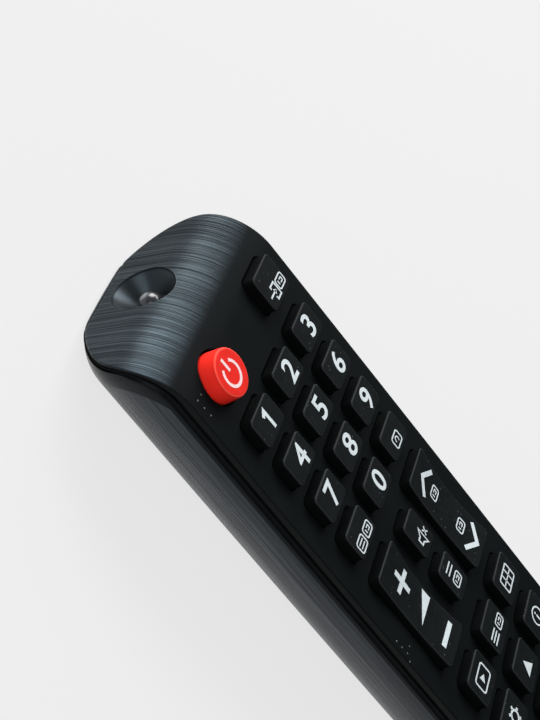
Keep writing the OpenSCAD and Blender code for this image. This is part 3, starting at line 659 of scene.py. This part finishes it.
def inner_form(t):
    """The outer form drawn in by a wall t and carried up past the meeting line, to hollow or trim with."""
    rise = part_h - t
    z = t + np.r_[rise * lift[:, 0], rise + 14.0][:, None] + np.zeros((1, count))
    squeeze = (flank_w - t) * (1 - np.sqrt(np.maximum(1 - ((part_h - np.minimum(z, part_h)) / rise) ** 2, 0)))
    return level(z, t, squeeze)


lower_finish, w = new_finish("lower_cover_plastic")
x, y, z = place = spot(w)
strand = w.noise(x * 2.4, y * 0.012, z * 2.4, 4.0, 0.70)
hair = w.noise(x * 7.0, y * 0.03, z * 7.0, 2.0, 0.6)
cloud = w.grain(place, 0.1)
along_y, above_z = y - 81.0, z - 5.2
from_turn = w.maths("SQRT", along_y * along_y + above_z * above_z)
front_lip = (1.0 - x.maths("ABSOLUTE", x).rise(12.0, 15.5)) * along_y.rise(15.0, 16.5)
corner_patch = from_turn.rise(11.9, 12.15) * along_y.rise(-0.5, 1.5) * (1.0 - front_lip)
smooth_band = w.maths("MAXIMUM", corner_patch, z.rise(16.20, 16.40))
fine = (strand * 0.55 + hair * 0.45).rise(0.38, 0.64) * (1.0 - smooth_band)
# Painted shade: the shiny brushed share is cut towards the top of the flank and towards the tail, so those
# parts render darker.
painted_shade_falloff = (0.9 - z.rise(8.0, 16.0) * 0.32) * (0.72 + y.rise(0.0, 60.0) * 0.28)
shiny_tones = grey(0.012, 0.0131, 0.0148), grey(0.036, 0.0392, 0.0445)
plain_tones = grey(0.005, 0.0056, 0.0064), grey(0.008, 0.0086, 0.0096)
patch_tones = grey(0.0030, 0.0036, 0.0040), grey(0.0045, 0.0052, 0.0058)
cool_tint = grey(0.73, 0.87, 1.0)
shiny_look = w.surface(fine.blend(*shiny_tones), 0.22 + cloud * 0.08, 0.74,
                       Specular_Tint=cool_tint, Normal=w.bump(fine, 0.3, 0.00010))
plain_look = w.surface(cloud.blend(*plain_tones), 0.32 + hair * 0.08, 0.22, Specular_Tint=cool_tint)
patch_look = w.surface(cloud.blend(*patch_tones), 0.16 + cloud * 0.10, 0.12, Specular_Tint=cool_tint)
seal(w, w.mix(smooth_band, w.mix(fine * painted_shade_falloff, plain_look, shiny_look), patch_look))


def cutter(name, patch):
    """A closed form that only cuts: its faces are turned outwards."""
    made = piece(name, [patch], lower_finish, "case")
    shape = bmesh.new()
    shape.from_mesh(made.data)
    bmesh.ops.recalc_face_normals(shape, faces=shape.faces)
    shape.to_mesh(made.data)
    shape.free()
    return made


def cut_with(target, tools, sharp=30.0):
    """Applies cuts, or joins and overlaps, in order, and leaves one plain mesh."""
    for tool, way in tools:
        step = target.modifiers.new("cut", "BOOLEAN")
        step.object, step.operation, step.solver = tool, way, "MANIFOLD"
    made = bpy.data.meshes.new_from_object(target.evaluated_get(bpy.context.evaluated_depsgraph_get()))
    target.modifiers.clear()
    target.data = made
    made.shade_smooth()
    made.set_sharp_from_angle(angle=np.radians(sharp))


def prism_along(points, y0, y1):
    """A right half of an end view, closed by its mirror image and carried along the body."""
    loop = both_sides(np.array(points, float))
    return closed(np.stack([np.c_[loop[:, 0], np.full(len(loop), y), loop[:, 1]] for y in (y0, y1)]))


def block(x0, x1, y0, y1, z0, z1):
    """A straight-sided bar between two corners, as two stacked loops."""
    mid = (x0 + x1) / 2
    loop = np.array([(mid, y0), (x1, y0), (x1, y1), (mid, y1), (x0, y1), (x0, y0)])
    return closed(np.stack([np.c_[loop, np.full(6, z)] for z in (z0, z1)]))


door_half, dovetail, door_rise, door_nose, door_gap, past_tail = 12.2, 1.2, 9.0, -32.8, 0.2, -120.0


def door_room(gap):
    """End view of the door's room: sloped edges, then upright ones to the top of the tail wall."""
    half, wide, top_z = door_half + gap, door_half + dovetail + gap, door_rise + gap
    return [(0, -2), (half, -2), (half, 0), (wide, wall), (wide, top_z), (0, top_z)]


def bar_across(half, y, z, r, steps=20):
    """A round bar across the body, as two loops of a circle at its ends."""
    a = np.linspace(0, 2 * np.pi, steps, endpoint=False)
    loop = np.stack([0 * a, y + r * np.cos(a), z + r * np.sin(a)], -1)
    return closed(np.stack([loop + [x, 0, 0] for x in (-half, half)]))


lower = piece("lower_cover", [closed(both_sides(outer_rows))], lower_finish, "case")
hollow = cutter("hollow_tool", closed(both_sides(inner_form(wall))))
slot_tool = cutter("door_slot_tool", prism_along(door_room(door_gap), past_tail, door_nose + door_gap))
door_tool = cutter("door_form_tool", prism_along(door_room(0.0), past_tail, door_nose))
cut_with(lower, [(hollow, "DIFFERENCE"), (slot_tool, "DIFFERENCE")])
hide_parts("bottom_cover")

bay_tail, bay_nose, bay_half, bay_wall, bay_trim = -84.5, -34.6, 11.5, 1.0, 0.9
bay_floor, bay_roof, bay_top, latch_room_half, latch_room_top = 2.25, 13.3, 13.75, 1.9, 3.4
bay_form = block(-24.0, 24.0, bay_tail - bay_wall, bay_nose + bay_wall, bay_floor, bay_top)
bay = piece("cell_bay", [bay_form], lower_finish, "case")
bay_tools = [(cutter("bay_trim_tool", closed(both_sides(inner_form(bay_trim)))), "INTERSECT")]
side_spans = (-30.0, -bay_half - bay_wall), (bay_half + bay_wall, 30.0)
bay_cuts = [("bay_room_tool", block(-bay_half, bay_half, bay_tail, bay_nose, 0.0, bay_roof))]
bay_cuts += [("bay_side_tool", block(*span, bay_tail, bay_nose, 0.0, bay_roof)) for span in side_spans]
bay_cuts += [("bay_latch_tool", block(-latch_room_half, latch_room_half, bay_tail - 2.0, bay_nose + 2.0,
                                      0.0, latch_room_top))]
bay_tools += [(cutter(name, form), "DIFFERENCE") for name, form in bay_cuts]
cut_with(bay, bay_tools)


# The cell door: a tray of the lower cover's plastic that slides off over the tail.
# Five grooves give the thumb a hold, and a tongue at its inner end catches behind the bay's wall.
grip_count, grip_pitch, grip_half, grip_r, grip_z = 5, 2.2, 7.0, 0.62, -0.14
latch_half, latch_reach, latch_z, latch_top = 1.5, 1.6, wall + 0.2, wall + 1.2
door = piece("cell_door", [closed(both_sides(outer_rows))], lower_finish, "door")
grips = [bar_across(grip_half, bay_nose - (k + 1.75) * grip_pitch, grip_z, grip_r) for k in range(grip_count)]
latch_back = door_nose - 2 * latch_reach
tongue = block(-latch_half, latch_half, latch_back, door_nose + latch_reach, latch_z, latch_top)
root = block(-latch_half, latch_half, latch_back, door_nose - latch_reach, latch_z - 0.6, latch_top - 0.02)
door_tools = [(hollow, "DIFFERENCE"), (door_tool, "INTERSECT")]
door_tools += [(cutter("grip_tool", grip), "DIFFERENCE") for grip in grips]
door_tools += [(cutter("latch_tool", tongue), "UNION"), (cutter("latch_root_tool", root), "UNION")]
cut_with(door, door_tools)
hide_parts("battery_door")
for tool, _ in [(slot_tool, ""), *bay_tools, *door_tools]:
    bpy.data.objects.remove(tool)


# The keys: moulded black rubber, a little tapered, with soft top edges, standing through the deck.
# All are one kind of form: loops that climb the wall, turn over the edge and lie flat on top.
# Each stands in its own opening and rides on its own body.
key_top, key_foot, rocker_y = 22.3, 17.0, 22.5


def rubber(name, low, high, gloss, painted_wall_shading=None, dish=0.0, top=key_top, painted_edge_highlight=grey(0.024, 0.026, 0.028)):
    """Matt rubber: fine grain, faint clouds and a few pale specks of dust; given a wall colour, it also
    paints shading on the walls and a highlight along the top edge.
    """
    made, w = new_finish(name)
    x, y, z = place = spot(w)
    grain, cloud = w.grain(place, 6.0, 3.0, 0.6), w.grain(place, 0.35)
    speck = w.grain(place, 1.9, 1.0).rise(0.735, 0.77)
    tone = (grain * 0.5 + cloud * 0.5).rise(0.3, 0.7).blend(low, high)
    dust_and_painted_light = (speck * 0.35).blend(tone, grey(0.16))
    # Painted light and shade: below the top edge the walls take their own colour, and a thin band just under
    # the top edge is painted with a highlight colour.
    if painted_wall_shading:
        share = (y - rocker_y) * (2.0 / rocker_size[1])
        climb = z + (1.0 - share * share) * dish - top
        painted_edge_band = climb.rise(-0.30, -0.14) * (1.0 - climb.rise(-0.06, 0.0))
        painted_walls = climb.rise(-0.6, -0.2).blend(painted_wall_shading, dust_and_painted_light)
        dust_and_painted_light = (painted_edge_band * (0.5 + grain * 0.8)).blend(painted_walls, painted_edge_highlight)
    seal(w, w.surface(dust_and_painted_light, 0.50 + grain * 0.18, gloss, Normal=w.bump(grain, 0.22, 0.00004)))
    return made


def key_rows(at, out, high, draft=0.10, soft=0.32):
    """Loops of a key: straight foot, tapered wall, a quarter-round top edge and a flat rim."""
    turns = np.linspace(0, np.pi / 2, 6)[1:]
    rows = [(0.0, key_foot), (0.0, key_foot + 0.8), (draft, high - soft)]
    rows += [(draft + soft * (1 - np.cos(t)), high - soft + soft * np.sin(t)) for t in turns]
    rows += [(draft + soft + 0.16, high)]
    return np.stack([np.c_[at - out * o, np.full(len(at), h)] for o, h in rows])


# The fourth tone is painted shade: the walls of the black keys and rockers are coloured darker than their
# tops.
black_tones = (grey(0.0038, 0.0050, 0.0054), grey(0.0064, 0.0080, 0.0085), 0.04,
               grey(0.0019, 0.0023, 0.0025))
key_finish = rubber("key_rubber_black", *black_tones)
colours = {"red": ((0.45, 0.02, 0.015), (0.55, 0.03, 0.02)),
           "green": ((0.02, 0.22, 0.05), (0.03, 0.28, 0.07)),
           "yellow": ((0.62, 0.42, 0.02), (0.72, 0.5, 0.03)),
           "blue": ((0.015, 0.06, 0.36), (0.02, 0.08, 0.45))}
colour_finish = {}
for name, (low, high) in colours.items():
    made = rubber("key_rubber_" + name, grey(*low), grey(*high), 0.08)
    colour_finish[name + "_key"] = (name + "_rubber", made)
for node in key_size:
    slot_name, finish = colour_finish.get(node, ("key_rubber", key_finish))
    cap = piece(node + "_cap", [closed(key_rows(*opening(node), key_top))], finish, node + "_body", 40.0)
    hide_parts(node)


# The power key: a round key of red rubber, a little taller than the rest, with a soft turned-over edge.
# It is moulded like the other keys and stands in a round opening.
# Its walls are painted a brighter, purer red than the top as painted light, and its top edge carries a
# painted highlight.
power_top, power_draft, power_soft = 22.86, 0.25, 0.55
# The last two colours are painted light: a brighter red on the walls and a paler red highlight along the top
# edge.
power_tones = grey(0.54, 0.013, 0.008), grey(0.62, 0.018, 0.012), 0.06, grey(0.84, 0.026, 0.016)
power_finish = rubber("key_rubber_power", *power_tones, 0.0, power_top, grey(0.86, 0.075, 0.050))
power_form = closed(key_rows(*opening("power_key"), power_top, power_draft, power_soft))
power = piece("power_key_cap", [power_form], power_finish, "power_key_body", 40.0)
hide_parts("power_key")


# The two rockers: long rubber keys with waisted sides and a top that dips towards its middle.
# They tip about a cross axis, so either end goes down.
rocker_dish, dish_foot = 1.0, 18.0
rocker_finish = rubber("rocker_rubber_black", *black_tones, rocker_dish)
for node in rockers:
    rows = key_rows(*opening(node), key_top)
    share = (rows[..., 1] - middle(node)[1]) / (rocker_size[1] / 2)
    climb = np.clip((rows[..., 2] - dish_foot) / (key_top - dish_foot), 0, 1)
    rows[..., 2] -= climb * rocker_dish * (1 - share ** 2)
    made = piece(node + "_cap", [closed(rows)], rocker_finish, node + "_body", 40.0)
    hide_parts(node)


# The legends: white print on the key tops, plain signs and numerals with no words.
# Each is a thin slab that rides on its own key: strokes along a path, filled shapes and plain figures.
# They are drawn in millimetres from the middle of their key, with y towards the nose.
def ink(name, low, high):
    """Printed ink: two tones mixed by fine grain and slow wear."""
    made, w = new_finish(name)
    place = spot(w)
    grain, wear = w.grain(place, 5.0, 3.0, 0.6), w.grain(place, 1.1)
    tone = (grain * 0.5 + wear * 0.5).rise(0.3, 0.7).blend(low, high)
    seal(w, w.surface(tone, 0.45 + grain * 0.2, 0.3, Normal=w.bump(grain, 0.1, 0.00003)))
    return made


white_ink = ink("legend_ink", grey(0.43, 0.485, 0.505), grey(0.52, 0.575, 0.595))
pink_ink = ink("legend_ink_power", grey(0.615, 0.47, 0.473), grey(0.724, 0.552, 0.556))
ink_low, ink_high = -0.08, 0.03


def at_height(points, height):
    return np.c_[points, np.full(len(points), height)]


def stroke(path, width=0.42, ring=False):
    """A flat bar along a path with mitred corners; a ring joins its ends."""
    p = np.array(path, float)
    ahead, back = np.roll(p, -1, axis=0) - p, p - np.roll(p, 1, axis=0)
    if not ring:
        ahead[-1], back[0] = back[-1], ahead[0]
    ahead, back = (v / np.linalg.norm(v, axis=1)[:, None] for v in (ahead, back))
    run = (ahead + back) / np.linalg.norm(ahead + back, axis=1)[:, None]
    reach = width / 2 / np.maximum((run * ahead).sum(1), 0.5)
    side = np.stack([-run[:, 1], run[:, 0]], -1) * reach[:, None]
    edges = ((-1, ink_low), (1, ink_low), (1, ink_high), (-1, ink_high))
    rows = np.stack([at_height(p + side * s, h) for s, h in edges], 1)
    if not ring:
        return closed(rows)
    return rows, lattice(len(p) + 1, 4) % (4 * len(p))


def solid(loop):
    """A filled shape: its loop, counted round from one corner, as floor and lid of a slab."""
    return closed(np.stack([at_height(np.array(loop, float), h) for h in (ink_low, ink_high)]))


def arc(x, y, r, start, end, steps=24):
    a = np.radians(np.linspace(start, end, steps))
    return np.stack([x + r * np.cos(a), y + r * np.sin(a)], -1)


def box_ring(x, y, w, l, r=0.5, width=0.3):
    """A round-cornered frame."""
    return stroke(key_outline(w, l, r, 5)[0][1:] + [x, y], width, True)


def tag(x, y):
    """A small frame with two marks in it."""
    hook = [(x - 0.1, y + 0.35), (x + 0.75, y + 0.35), (x + 0.75, y - 0.35), (x - 0.1, y - 0.35)]
    return [box_ring(x, y, 3.0, 2.1), line(x - 0.7, y - 0.4, x - 0.7, y + 0.45, 0.3), stroke(hook, 0.26)]


def triangle(x, y, half, length, turn):
    """A filled triangle whose apex points along a turn from the nose, in degrees to the left."""
    t = np.radians(turn)
    loop = np.array([(0, length / 2), (-half, -length / 2), (0, -length / 2), (half, -length / 2)])
    return solid(loop @ np.array([[np.cos(t), np.sin(t)], [-np.sin(t), np.cos(t)]]) + [x, y])


def figure(sign, height=4.55, slim=1.12, shift=0.62):
    """A numeral of the built-in font, made a mesh at size 1 and then scaled to a height."""
    words = bpy.data.curves.new("figure", "FONT")
    words.body, words.extrude, words.offset, words.resolution_u = sign, 0.1, 0.016, 6
    holder = bpy.data.objects.new("figure", words)
    scene.collection.objects.link(holder)
    bpy.context.view_layer.update()
    shape = bpy.data.meshes.new_from_object(holder.evaluated_get(bpy.context.evaluated_depsgraph_get()))
    shape.calc_loop_triangles()
    points, sides = np.empty(3 * len(shape.vertices)), np.empty(3 * len(shape.loop_triangles), np.int32)
    shape.vertices.foreach_get("co", points)
    shape.loop_triangles.foreach_get("vertices", sides)
    bpy.data.objects.remove(holder)
    bpy.data.meshes.remove(shape)
    points = points.reshape(-1, 3)
    low, high = points.min(0), points.max(0)
    size = height / (high[1] - low[1])
    plan = (points[:, :2] - (low[:2] + high[:2]) / 2) * [size * slim, size] + [shift, 0.0]
    return np.c_[plan, np.where(points[:, 2] > 0, ink_high, ink_low)], sides.reshape(-1, 3)


def line(x0, y0, x1, y1, width):
    return stroke([(x0, y0), (x1, y1)], width)


def ring(r, width, steps):
    """A round ring about the key's middle."""
    return stroke(arc(0, 0, r, 0, 360, steps)[:-1], width, True)


signs = {"number_%d_key" % k: [figure(str(k))] for k in range(10)}
signs["number_1_key"] = [stroke([(-0.75, 1.05), (0.45, 1.72), (0.45, -2.05)], 0.78)]
signs["power_key"] = [stroke(arc(-0.2, -0.1, 2.35, 128, 412, 40), 0.6), line(-0.2, 3.1, -0.2, 0.5, 0.64)]
signs["volume_rocker"] = [line(0.4, 8.5, 0.4, 3.1, 1.15), line(-2.4, 5.8, 3.2, 5.8, 1.15),
                          solid([(-3.0, -2.5), (3.9, -2.5), (3.9, -1.1), (3.9, 0.2)]),
                          line(-2.7, -8.9, 3.3, -8.9, 1.2)]
signs["programme_rocker"] = [stroke([(-3.5, 6.8), (0.0, 9.2), (3.5, 6.8)], 1.0),
                             stroke([(-3.5, -7.6), (0.0, -10.3), (3.5, -7.6)], 1.0)]
signs["programme_rocker"] += tag(0.1, 4.3) + tag(0.1, -5.0)
port = [(-1.6, -0.7), (-1.6, -0.2), (0.2, -0.2), (0.2, -2.9), (-1.6, -2.9), (-1.6, -2.3)]
signs["source_key"] = tag(2.2, -1.5) + [stroke(port, 0.36), line(-3.3, -1.5, -0.7, -1.5, 0.36),
                                        triangle(-0.8, -1.5, 0.6, 0.9, -90)]
signs["page_key"] = tag(1.8, -1.1) + [box_ring(-2.0, -1.1, 3.0, 2.4)]
signs["page_key"] += [line(-3.0, y, -1.0, y, 0.26) for y in (-0.7, -1.5)]
signs["previous_key"] = [box_ring(0.0, -1.0, 3.2, 2.4), stroke(arc(0.0, -1.05, 0.6, -60, 200, 16), 0.26)]
horn = [(-1.5, -1.9), (-0.6, -1.9), (0.5, -3.0), (0.5, 0.6), (-0.6, -0.5), (-1.5, -0.5)]
signs["mute_key"] = [stroke(horn, 0.34, True), line(1.1, -1.9, 2.2, -0.5, 0.3),
                     line(1.1, -0.5, 2.2, -1.9, 0.3)]
signs["list_key"] = tag(0.1, -1.2) + [line(-1.4, y, 1.6, y, 0.34) for y in (1.2, 2.2)]
signs["media_key"] = [box_ring(0.0, 0.0, 5.0, 3.6, 0.6, 0.36), triangle(0.1, 0.0, 0.9, 1.6, -90)]
signs["menu_key"] = tag(2.0, -0.7) + [line(-3.6, -0.7 + y, -0.5, -0.7 + y, 0.36) for y in (-0.9, 0.0, 0.9)]
signs["guide_key"] = [box_ring(0.0, 0.0, 5.0, 3.6, 0.4, 0.36), line(-0.8, 1.6, -0.8, -1.6, 0.3),
                      line(0.9, 1.6, 0.9, -1.6, 0.3), line(-2.4, 0.0, 2.4, 0.0, 0.3)]
signs["tools_key"] = [ring(1.25, 0.5, 25)]
signs["tools_key"] += [stroke(arc(0, 0, 1, t, t, 1) * [[1.4], [2.1]], 0.6) for t in range(0, 360, 60)]
signs["info_key"] = [ring(1.9, 0.36, 29), line(0, -1.0, 0, 0.3, 0.45), line(0, 0.7, 0, 1.1, 0.45)]
for node, turn in (("up_key", 0), ("left_key", 90), ("down_key", 180), ("right_key", -90)):
    signs[node] = [triangle(0.0, -0.2 if turn in (0, 180) else 0.0, 1.75, 3.0, turn)]
signs["ok_key"] = [ring(1.7, 0.45, 29)]
return_way = np.r_[[(-1.9, 0.9), (0.8, 0.9)], arc(0.8, -0.3, 1.2, 80, -90, 12), [(-1.0, -1.5)]]
signs["back_key"] = [stroke(return_way, 0.4), triangle(-2.2, 0.9, 0.8, 1.2, 90)]
signs["exit_key"] = [line(-1.4, -1.4, 1.4, 1.4, 0.5), line(-1.4, 1.4, 1.4, -1.4, 0.5)]
signs["function_left_key"] = [box_ring(0.0, 0.0, 3.6, 2.2, 0.3, 0.32)]
signs["function_middle_key"] = [box_ring(0.0, 0.0, 3.6, 2.2, 0.3, 0.32), line(-1.1, -0.4, 1.1, -0.4, 0.3)]
signs["function_right_key"] = [ring(1.1, 0.32, 23), line(0, 0.0, 0, 0.75, 0.26),
                               line(-0.1, 0.0, 0.55, 0.0, 0.26)]
signs["rewind_key"] = [triangle(-0.9, 0.0, 1.0, 1.6, 90), triangle(0.8, 0.0, 1.0, 1.6, 90)]
signs["forward_key"] = [triangle(-0.8, 0.0, 1.0, 1.6, -90), triangle(0.9, 0.0, 1.0, 1.6, -90)]
signs["pause_key"] = [line(x, -1.0, x, 1.0, 0.55) for x in (-0.5, 0.5)]
signs["record_key"] = [solid(arc(0, 0, 1.0, 0, 360, 25)[:-1])]
signs["play_key"] = [triangle(0.1, 0.0, 1.1, 1.9, -90)]
signs["stop_key"] = [solid([(-0.95, -0.95), (0.95, -0.95), (0.95, 0.95), (-0.95, 0.95)])]
for node, patches in signs.items():
    top_z = power_top if node == "power_key" else key_top
    bend = rocker_dish if node in rockers else 0.0
    placed = []
    for p, faces in patches:
        print_z = top_z - bend * (1 - (p[..., 1] / (rocker_size[1] / 2)) ** 2)
        placed.append((p + np.stack([0 * print_z, 0 * print_z, print_z], -1) + [*middle(node), 0.0], faces))
    finish = pink_ink if node == "power_key" else white_ink
    piece(node.replace("_key", "") + "_legend", placed, finish, node + "_body", 20.0)


# The raised dots: two small groups of moulded pips beside the power key and the volume rocker.
# They are of the cover's own plastic, polished by use, and let a thumb find these keys by touch.
pip_r, pip_h, pip_sink, pip_steps = 0.21, 0.16, -0.05, 16
pips = ((-19.70, 83.91), (-21.32, 83.97), (-21.25, 82.14), (-21.19, 80.35), (-22.43, 23.79), (-22.36, 21.97),
        (-20.64, 20.29), (-22.34, 20.27), (-23.3, 19.12))
around = np.linspace(0, 2 * np.pi, pip_steps, endpoint=False)
pip_climb = np.linspace(0, np.pi / 2, 5)[:-1]
pip_rows = [(pip_r * 1.02, pip_sink)]
pip_rows += [(pip_r * np.cos(a), pip_h * np.sin(a)) for a in pip_climb] + [(0.0, pip_h)]
pip_form = np.stack([np.stack([r * np.cos(around), r * np.sin(around), np.full(pip_steps, h)], -1)
                     for r, h in pip_rows])
pip_finish, w = new_finish("pip_gloss")
grain = w.grain(spot(w), 8.0)
pip_tones = grey(0.02, 0.022, 0.024), grey(0.05, 0.053, 0.056)
seal(w, w.surface(grain.rise(0.3, 0.7).blend(*pip_tones), 0.18 + grain * 0.1, 0.7))
pip_patches = [(pip_form + [x, y, deck_height(x, y)], lattice(len(pip_form), pip_steps)) for x, y in pips]
dots = piece("raised_dots", pip_patches, pip_finish, "case")


# The light emitter: a smoky resin capsule with a domed tip, a collar and two flat leads to the board.
# It lies level behind the dimple, so that only its dome shows in the dimple's floor.
emit_r, emit_len, lead_x, lead_half = 2.5, 6.2, 1.27, 0.25
emit_seat, emit_z = dimple_y - dimple_depth * np.cos(lean), dimple_h - dimple_depth * np.sin(lean)


def lathe_along(profile, x, z, steps=48):
    """A turned form along the body: each row is a circle of one radius at one place on its axis."""
    a = np.linspace(0, 2 * np.pi, steps, endpoint=False)
    rows = [np.stack([x + r * np.cos(a), np.full(steps, y), z - r * np.sin(a)], -1) for r, y in profile]
    return closed(np.stack(rows))


emit_back = emit_seat - emit_len
dome = [(emit_r * np.cos(a), emit_seat + emit_r * np.sin(a)) for a in np.linspace(0, np.pi / 2, 14)[1:-1]]
collar = [(2.75, 0.0), (2.88, 0.1), (2.88, 0.9), (2.75, 1.0), (emit_r, 1.02)]
emit_profile = [(r, emit_back + d) for r, d in collar] + [(emit_r, emit_seat)] + dome
emit_profile += [(0.1, emit_seat + emit_r - 0.003)]
emitter_finish, w = new_finish("emitter_resin_smoky")
x, y, z = place = spot(w)
off_axis = w.maths("SQRT", x * x + (z - emit_z) * (z - emit_z))
swirl = w.grain(place, 1.4)
cup = 1.0 - (off_axis + swirl * 0.5).rise(0.9, 1.5)
resin_tones = grey(0.022, 0.024, 0.027), grey(0.16, 0.17, 0.18)
seal(w, w.surface(cup.blend(*resin_tones), 0.16 + swirl * 0.14, 0.5, Coat_Weight=0.1 + swirl * 0.2))
leads = [block(mid - lead_half, mid + lead_half, emit_back - 1.9, emit_back + 0.2,
               emit_z - lead_half, emit_z + lead_half) for mid in (-lead_x, lead_x)]
emitter_form = [lathe_along(emit_profile, 0.0, emit_z)] + leads
emitter = piece("emitter_lens", emitter_form, emitter_finish, "case", 40.0)
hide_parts("ir_emitter")


# The two cells: steel cans in a printed sleeve, with a nub at one end and a crimped edge at the other.
# They lie side by side in the bay, one turned about, between the sheet contacts.
# The sleeve is dark with a copper band towards the nub and bears no name.
nub = 0.8
for node, way in (("battery_left", 1.0), ("battery_right", -1.0)):
    low, high = (np.array(v) * 1000.0 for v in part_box(node))
    cell_x, cell_z = (low[0] + high[0]) / 2, (low[2] + high[2]) / 2
    cell_r, cell_l = (high[2] - low[2]) / 2 - 0.01, high[1] - low[1]
    neg_y, shoulder = (low[1] if way > 0 else high[1]), cell_l - nub
    profile = [(3.9, 0.02), (4.35, 0.02), (4.5, 0.3), (cell_r - 0.35, 0.35), (cell_r - 0.08, 0.5),
               (cell_r, 0.9), (cell_r, shoulder - 0.9), (cell_r - 0.1, shoulder - 0.5),
               (cell_r - 0.5, shoulder - 0.1), (cell_r - 1.2, shoulder), (2.1, shoulder - 0.05),
               (1.85, shoulder + 0.1), (1.8, cell_l - 0.2), (1.55, cell_l - 0.01)]
    sleeve_finish, w = new_finish("cell_sleeve_" + node)
    x, y, z = spot(w)
    run = (y - neg_y) * way
    scuff = w.noise(x * 0.8, y * 0.3, z * 0.8, 3.0, 0.6)
    radius = w.maths("SQRT", (x - cell_x) * (x - cell_x) + (z - cell_z) * (z - cell_z))
    bare_nub = w.maths("MAXIMUM", run.rise(shoulder - 0.55, shoulder - 0.45),
                       1.0 - radius.rise(cell_r - 0.5, cell_r - 0.4))
    bare = w.maths("MAXIMUM", 1.0 - run.rise(0.5, 0.6), bare_nub)
    banded = run.rise(cell_l * 0.68, cell_l * 0.68 + 0.1)
    worn = scuff.rise(0.3, 0.7)
    jacket = banded.blend(worn.blend(grey(0.020, 0.024, 0.030), grey(0.030, 0.035, 0.042)),
                          worn.blend(grey(0.40, 0.20, 0.07), grey(0.50, 0.26, 0.10)))
    seal(w, w.surface(bare.blend(jacket, grey(0.62, 0.61, 0.58)), 0.24 + scuff * 0.16, 0.5,
                      Metallic=bare, Normal=w.bump(scuff, 0.1, 0.00004)))
    placed = [(r, neg_y + way * d) for r, d in profile][::1 if way > 0 else -1]
    made = piece(node + "_can", [lathe_along(placed, cell_x, cell_z)], sleeve_finish, "case", 25.0)
    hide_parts(node)


# The inner pieces: mat, board, chip, resonator, capacitor, transistor and resistors keep their solids.
# They are seen only when the door is away, and each gets its own moulded, printed or plated finish.
def inner(name, low, high, rough, gloss, metal=0.0, size=3.0):
    """A grained finish for a small part inside: two tones, an uneven roughness and a fine bump."""
    made, w = new_finish(name)
    grain = w.grain(spot(w), size, 3.0, 0.6)
    seal(w, w.surface(grain.rise(0.3, 0.7).blend(low, high), rough + grain * 0.15, gloss,
                      Metallic=metal, Normal=w.bump(grain, 0.15, 0.00004)))
    return made


inner_finish = {
    "keypad_mat": inner("mat_rubber_dark", grey(0.012), grey(0.02), 0.55, 0.2),
    "circuit_board": inner("board_lacquer", grey(0.012, 0.075, 0.03), grey(0.02, 0.11, 0.045), 0.35, 0.5),
    "control_chip": inner("chip_resin", grey(0.012), grey(0.022), 0.5, 0.4),
    "resonator": inner("resonator_resin", grey(0.42, 0.24, 0.08), grey(0.5, 0.3, 0.11), 0.4, 0.5),
    "capacitor": inner("capacitor_sleeve", grey(0.012, 0.03, 0.12), grey(0.02, 0.045, 0.17), 0.3, 0.5),
    "driver_transistor": inner("transistor_resin", grey(0.012), grey(0.02), 0.45, 0.4),
    "resistors": inner("resistor_glaze", grey(0.015), grey(0.035), 0.3, 0.5),
    "positive_contact": inner("nickel_plate", grey(0.55, 0.53, 0.5), grey(0.68, 0.66, 0.62),
                              0.25, 0.5, 1.0, 1.5)}
inner_finish["negative_contact"] = inner_finish["link_contact"] = inner_finish["positive_contact"]
for node, finish in inner_finish.items():
    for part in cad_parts[node].material_slots:
        part.material = finish
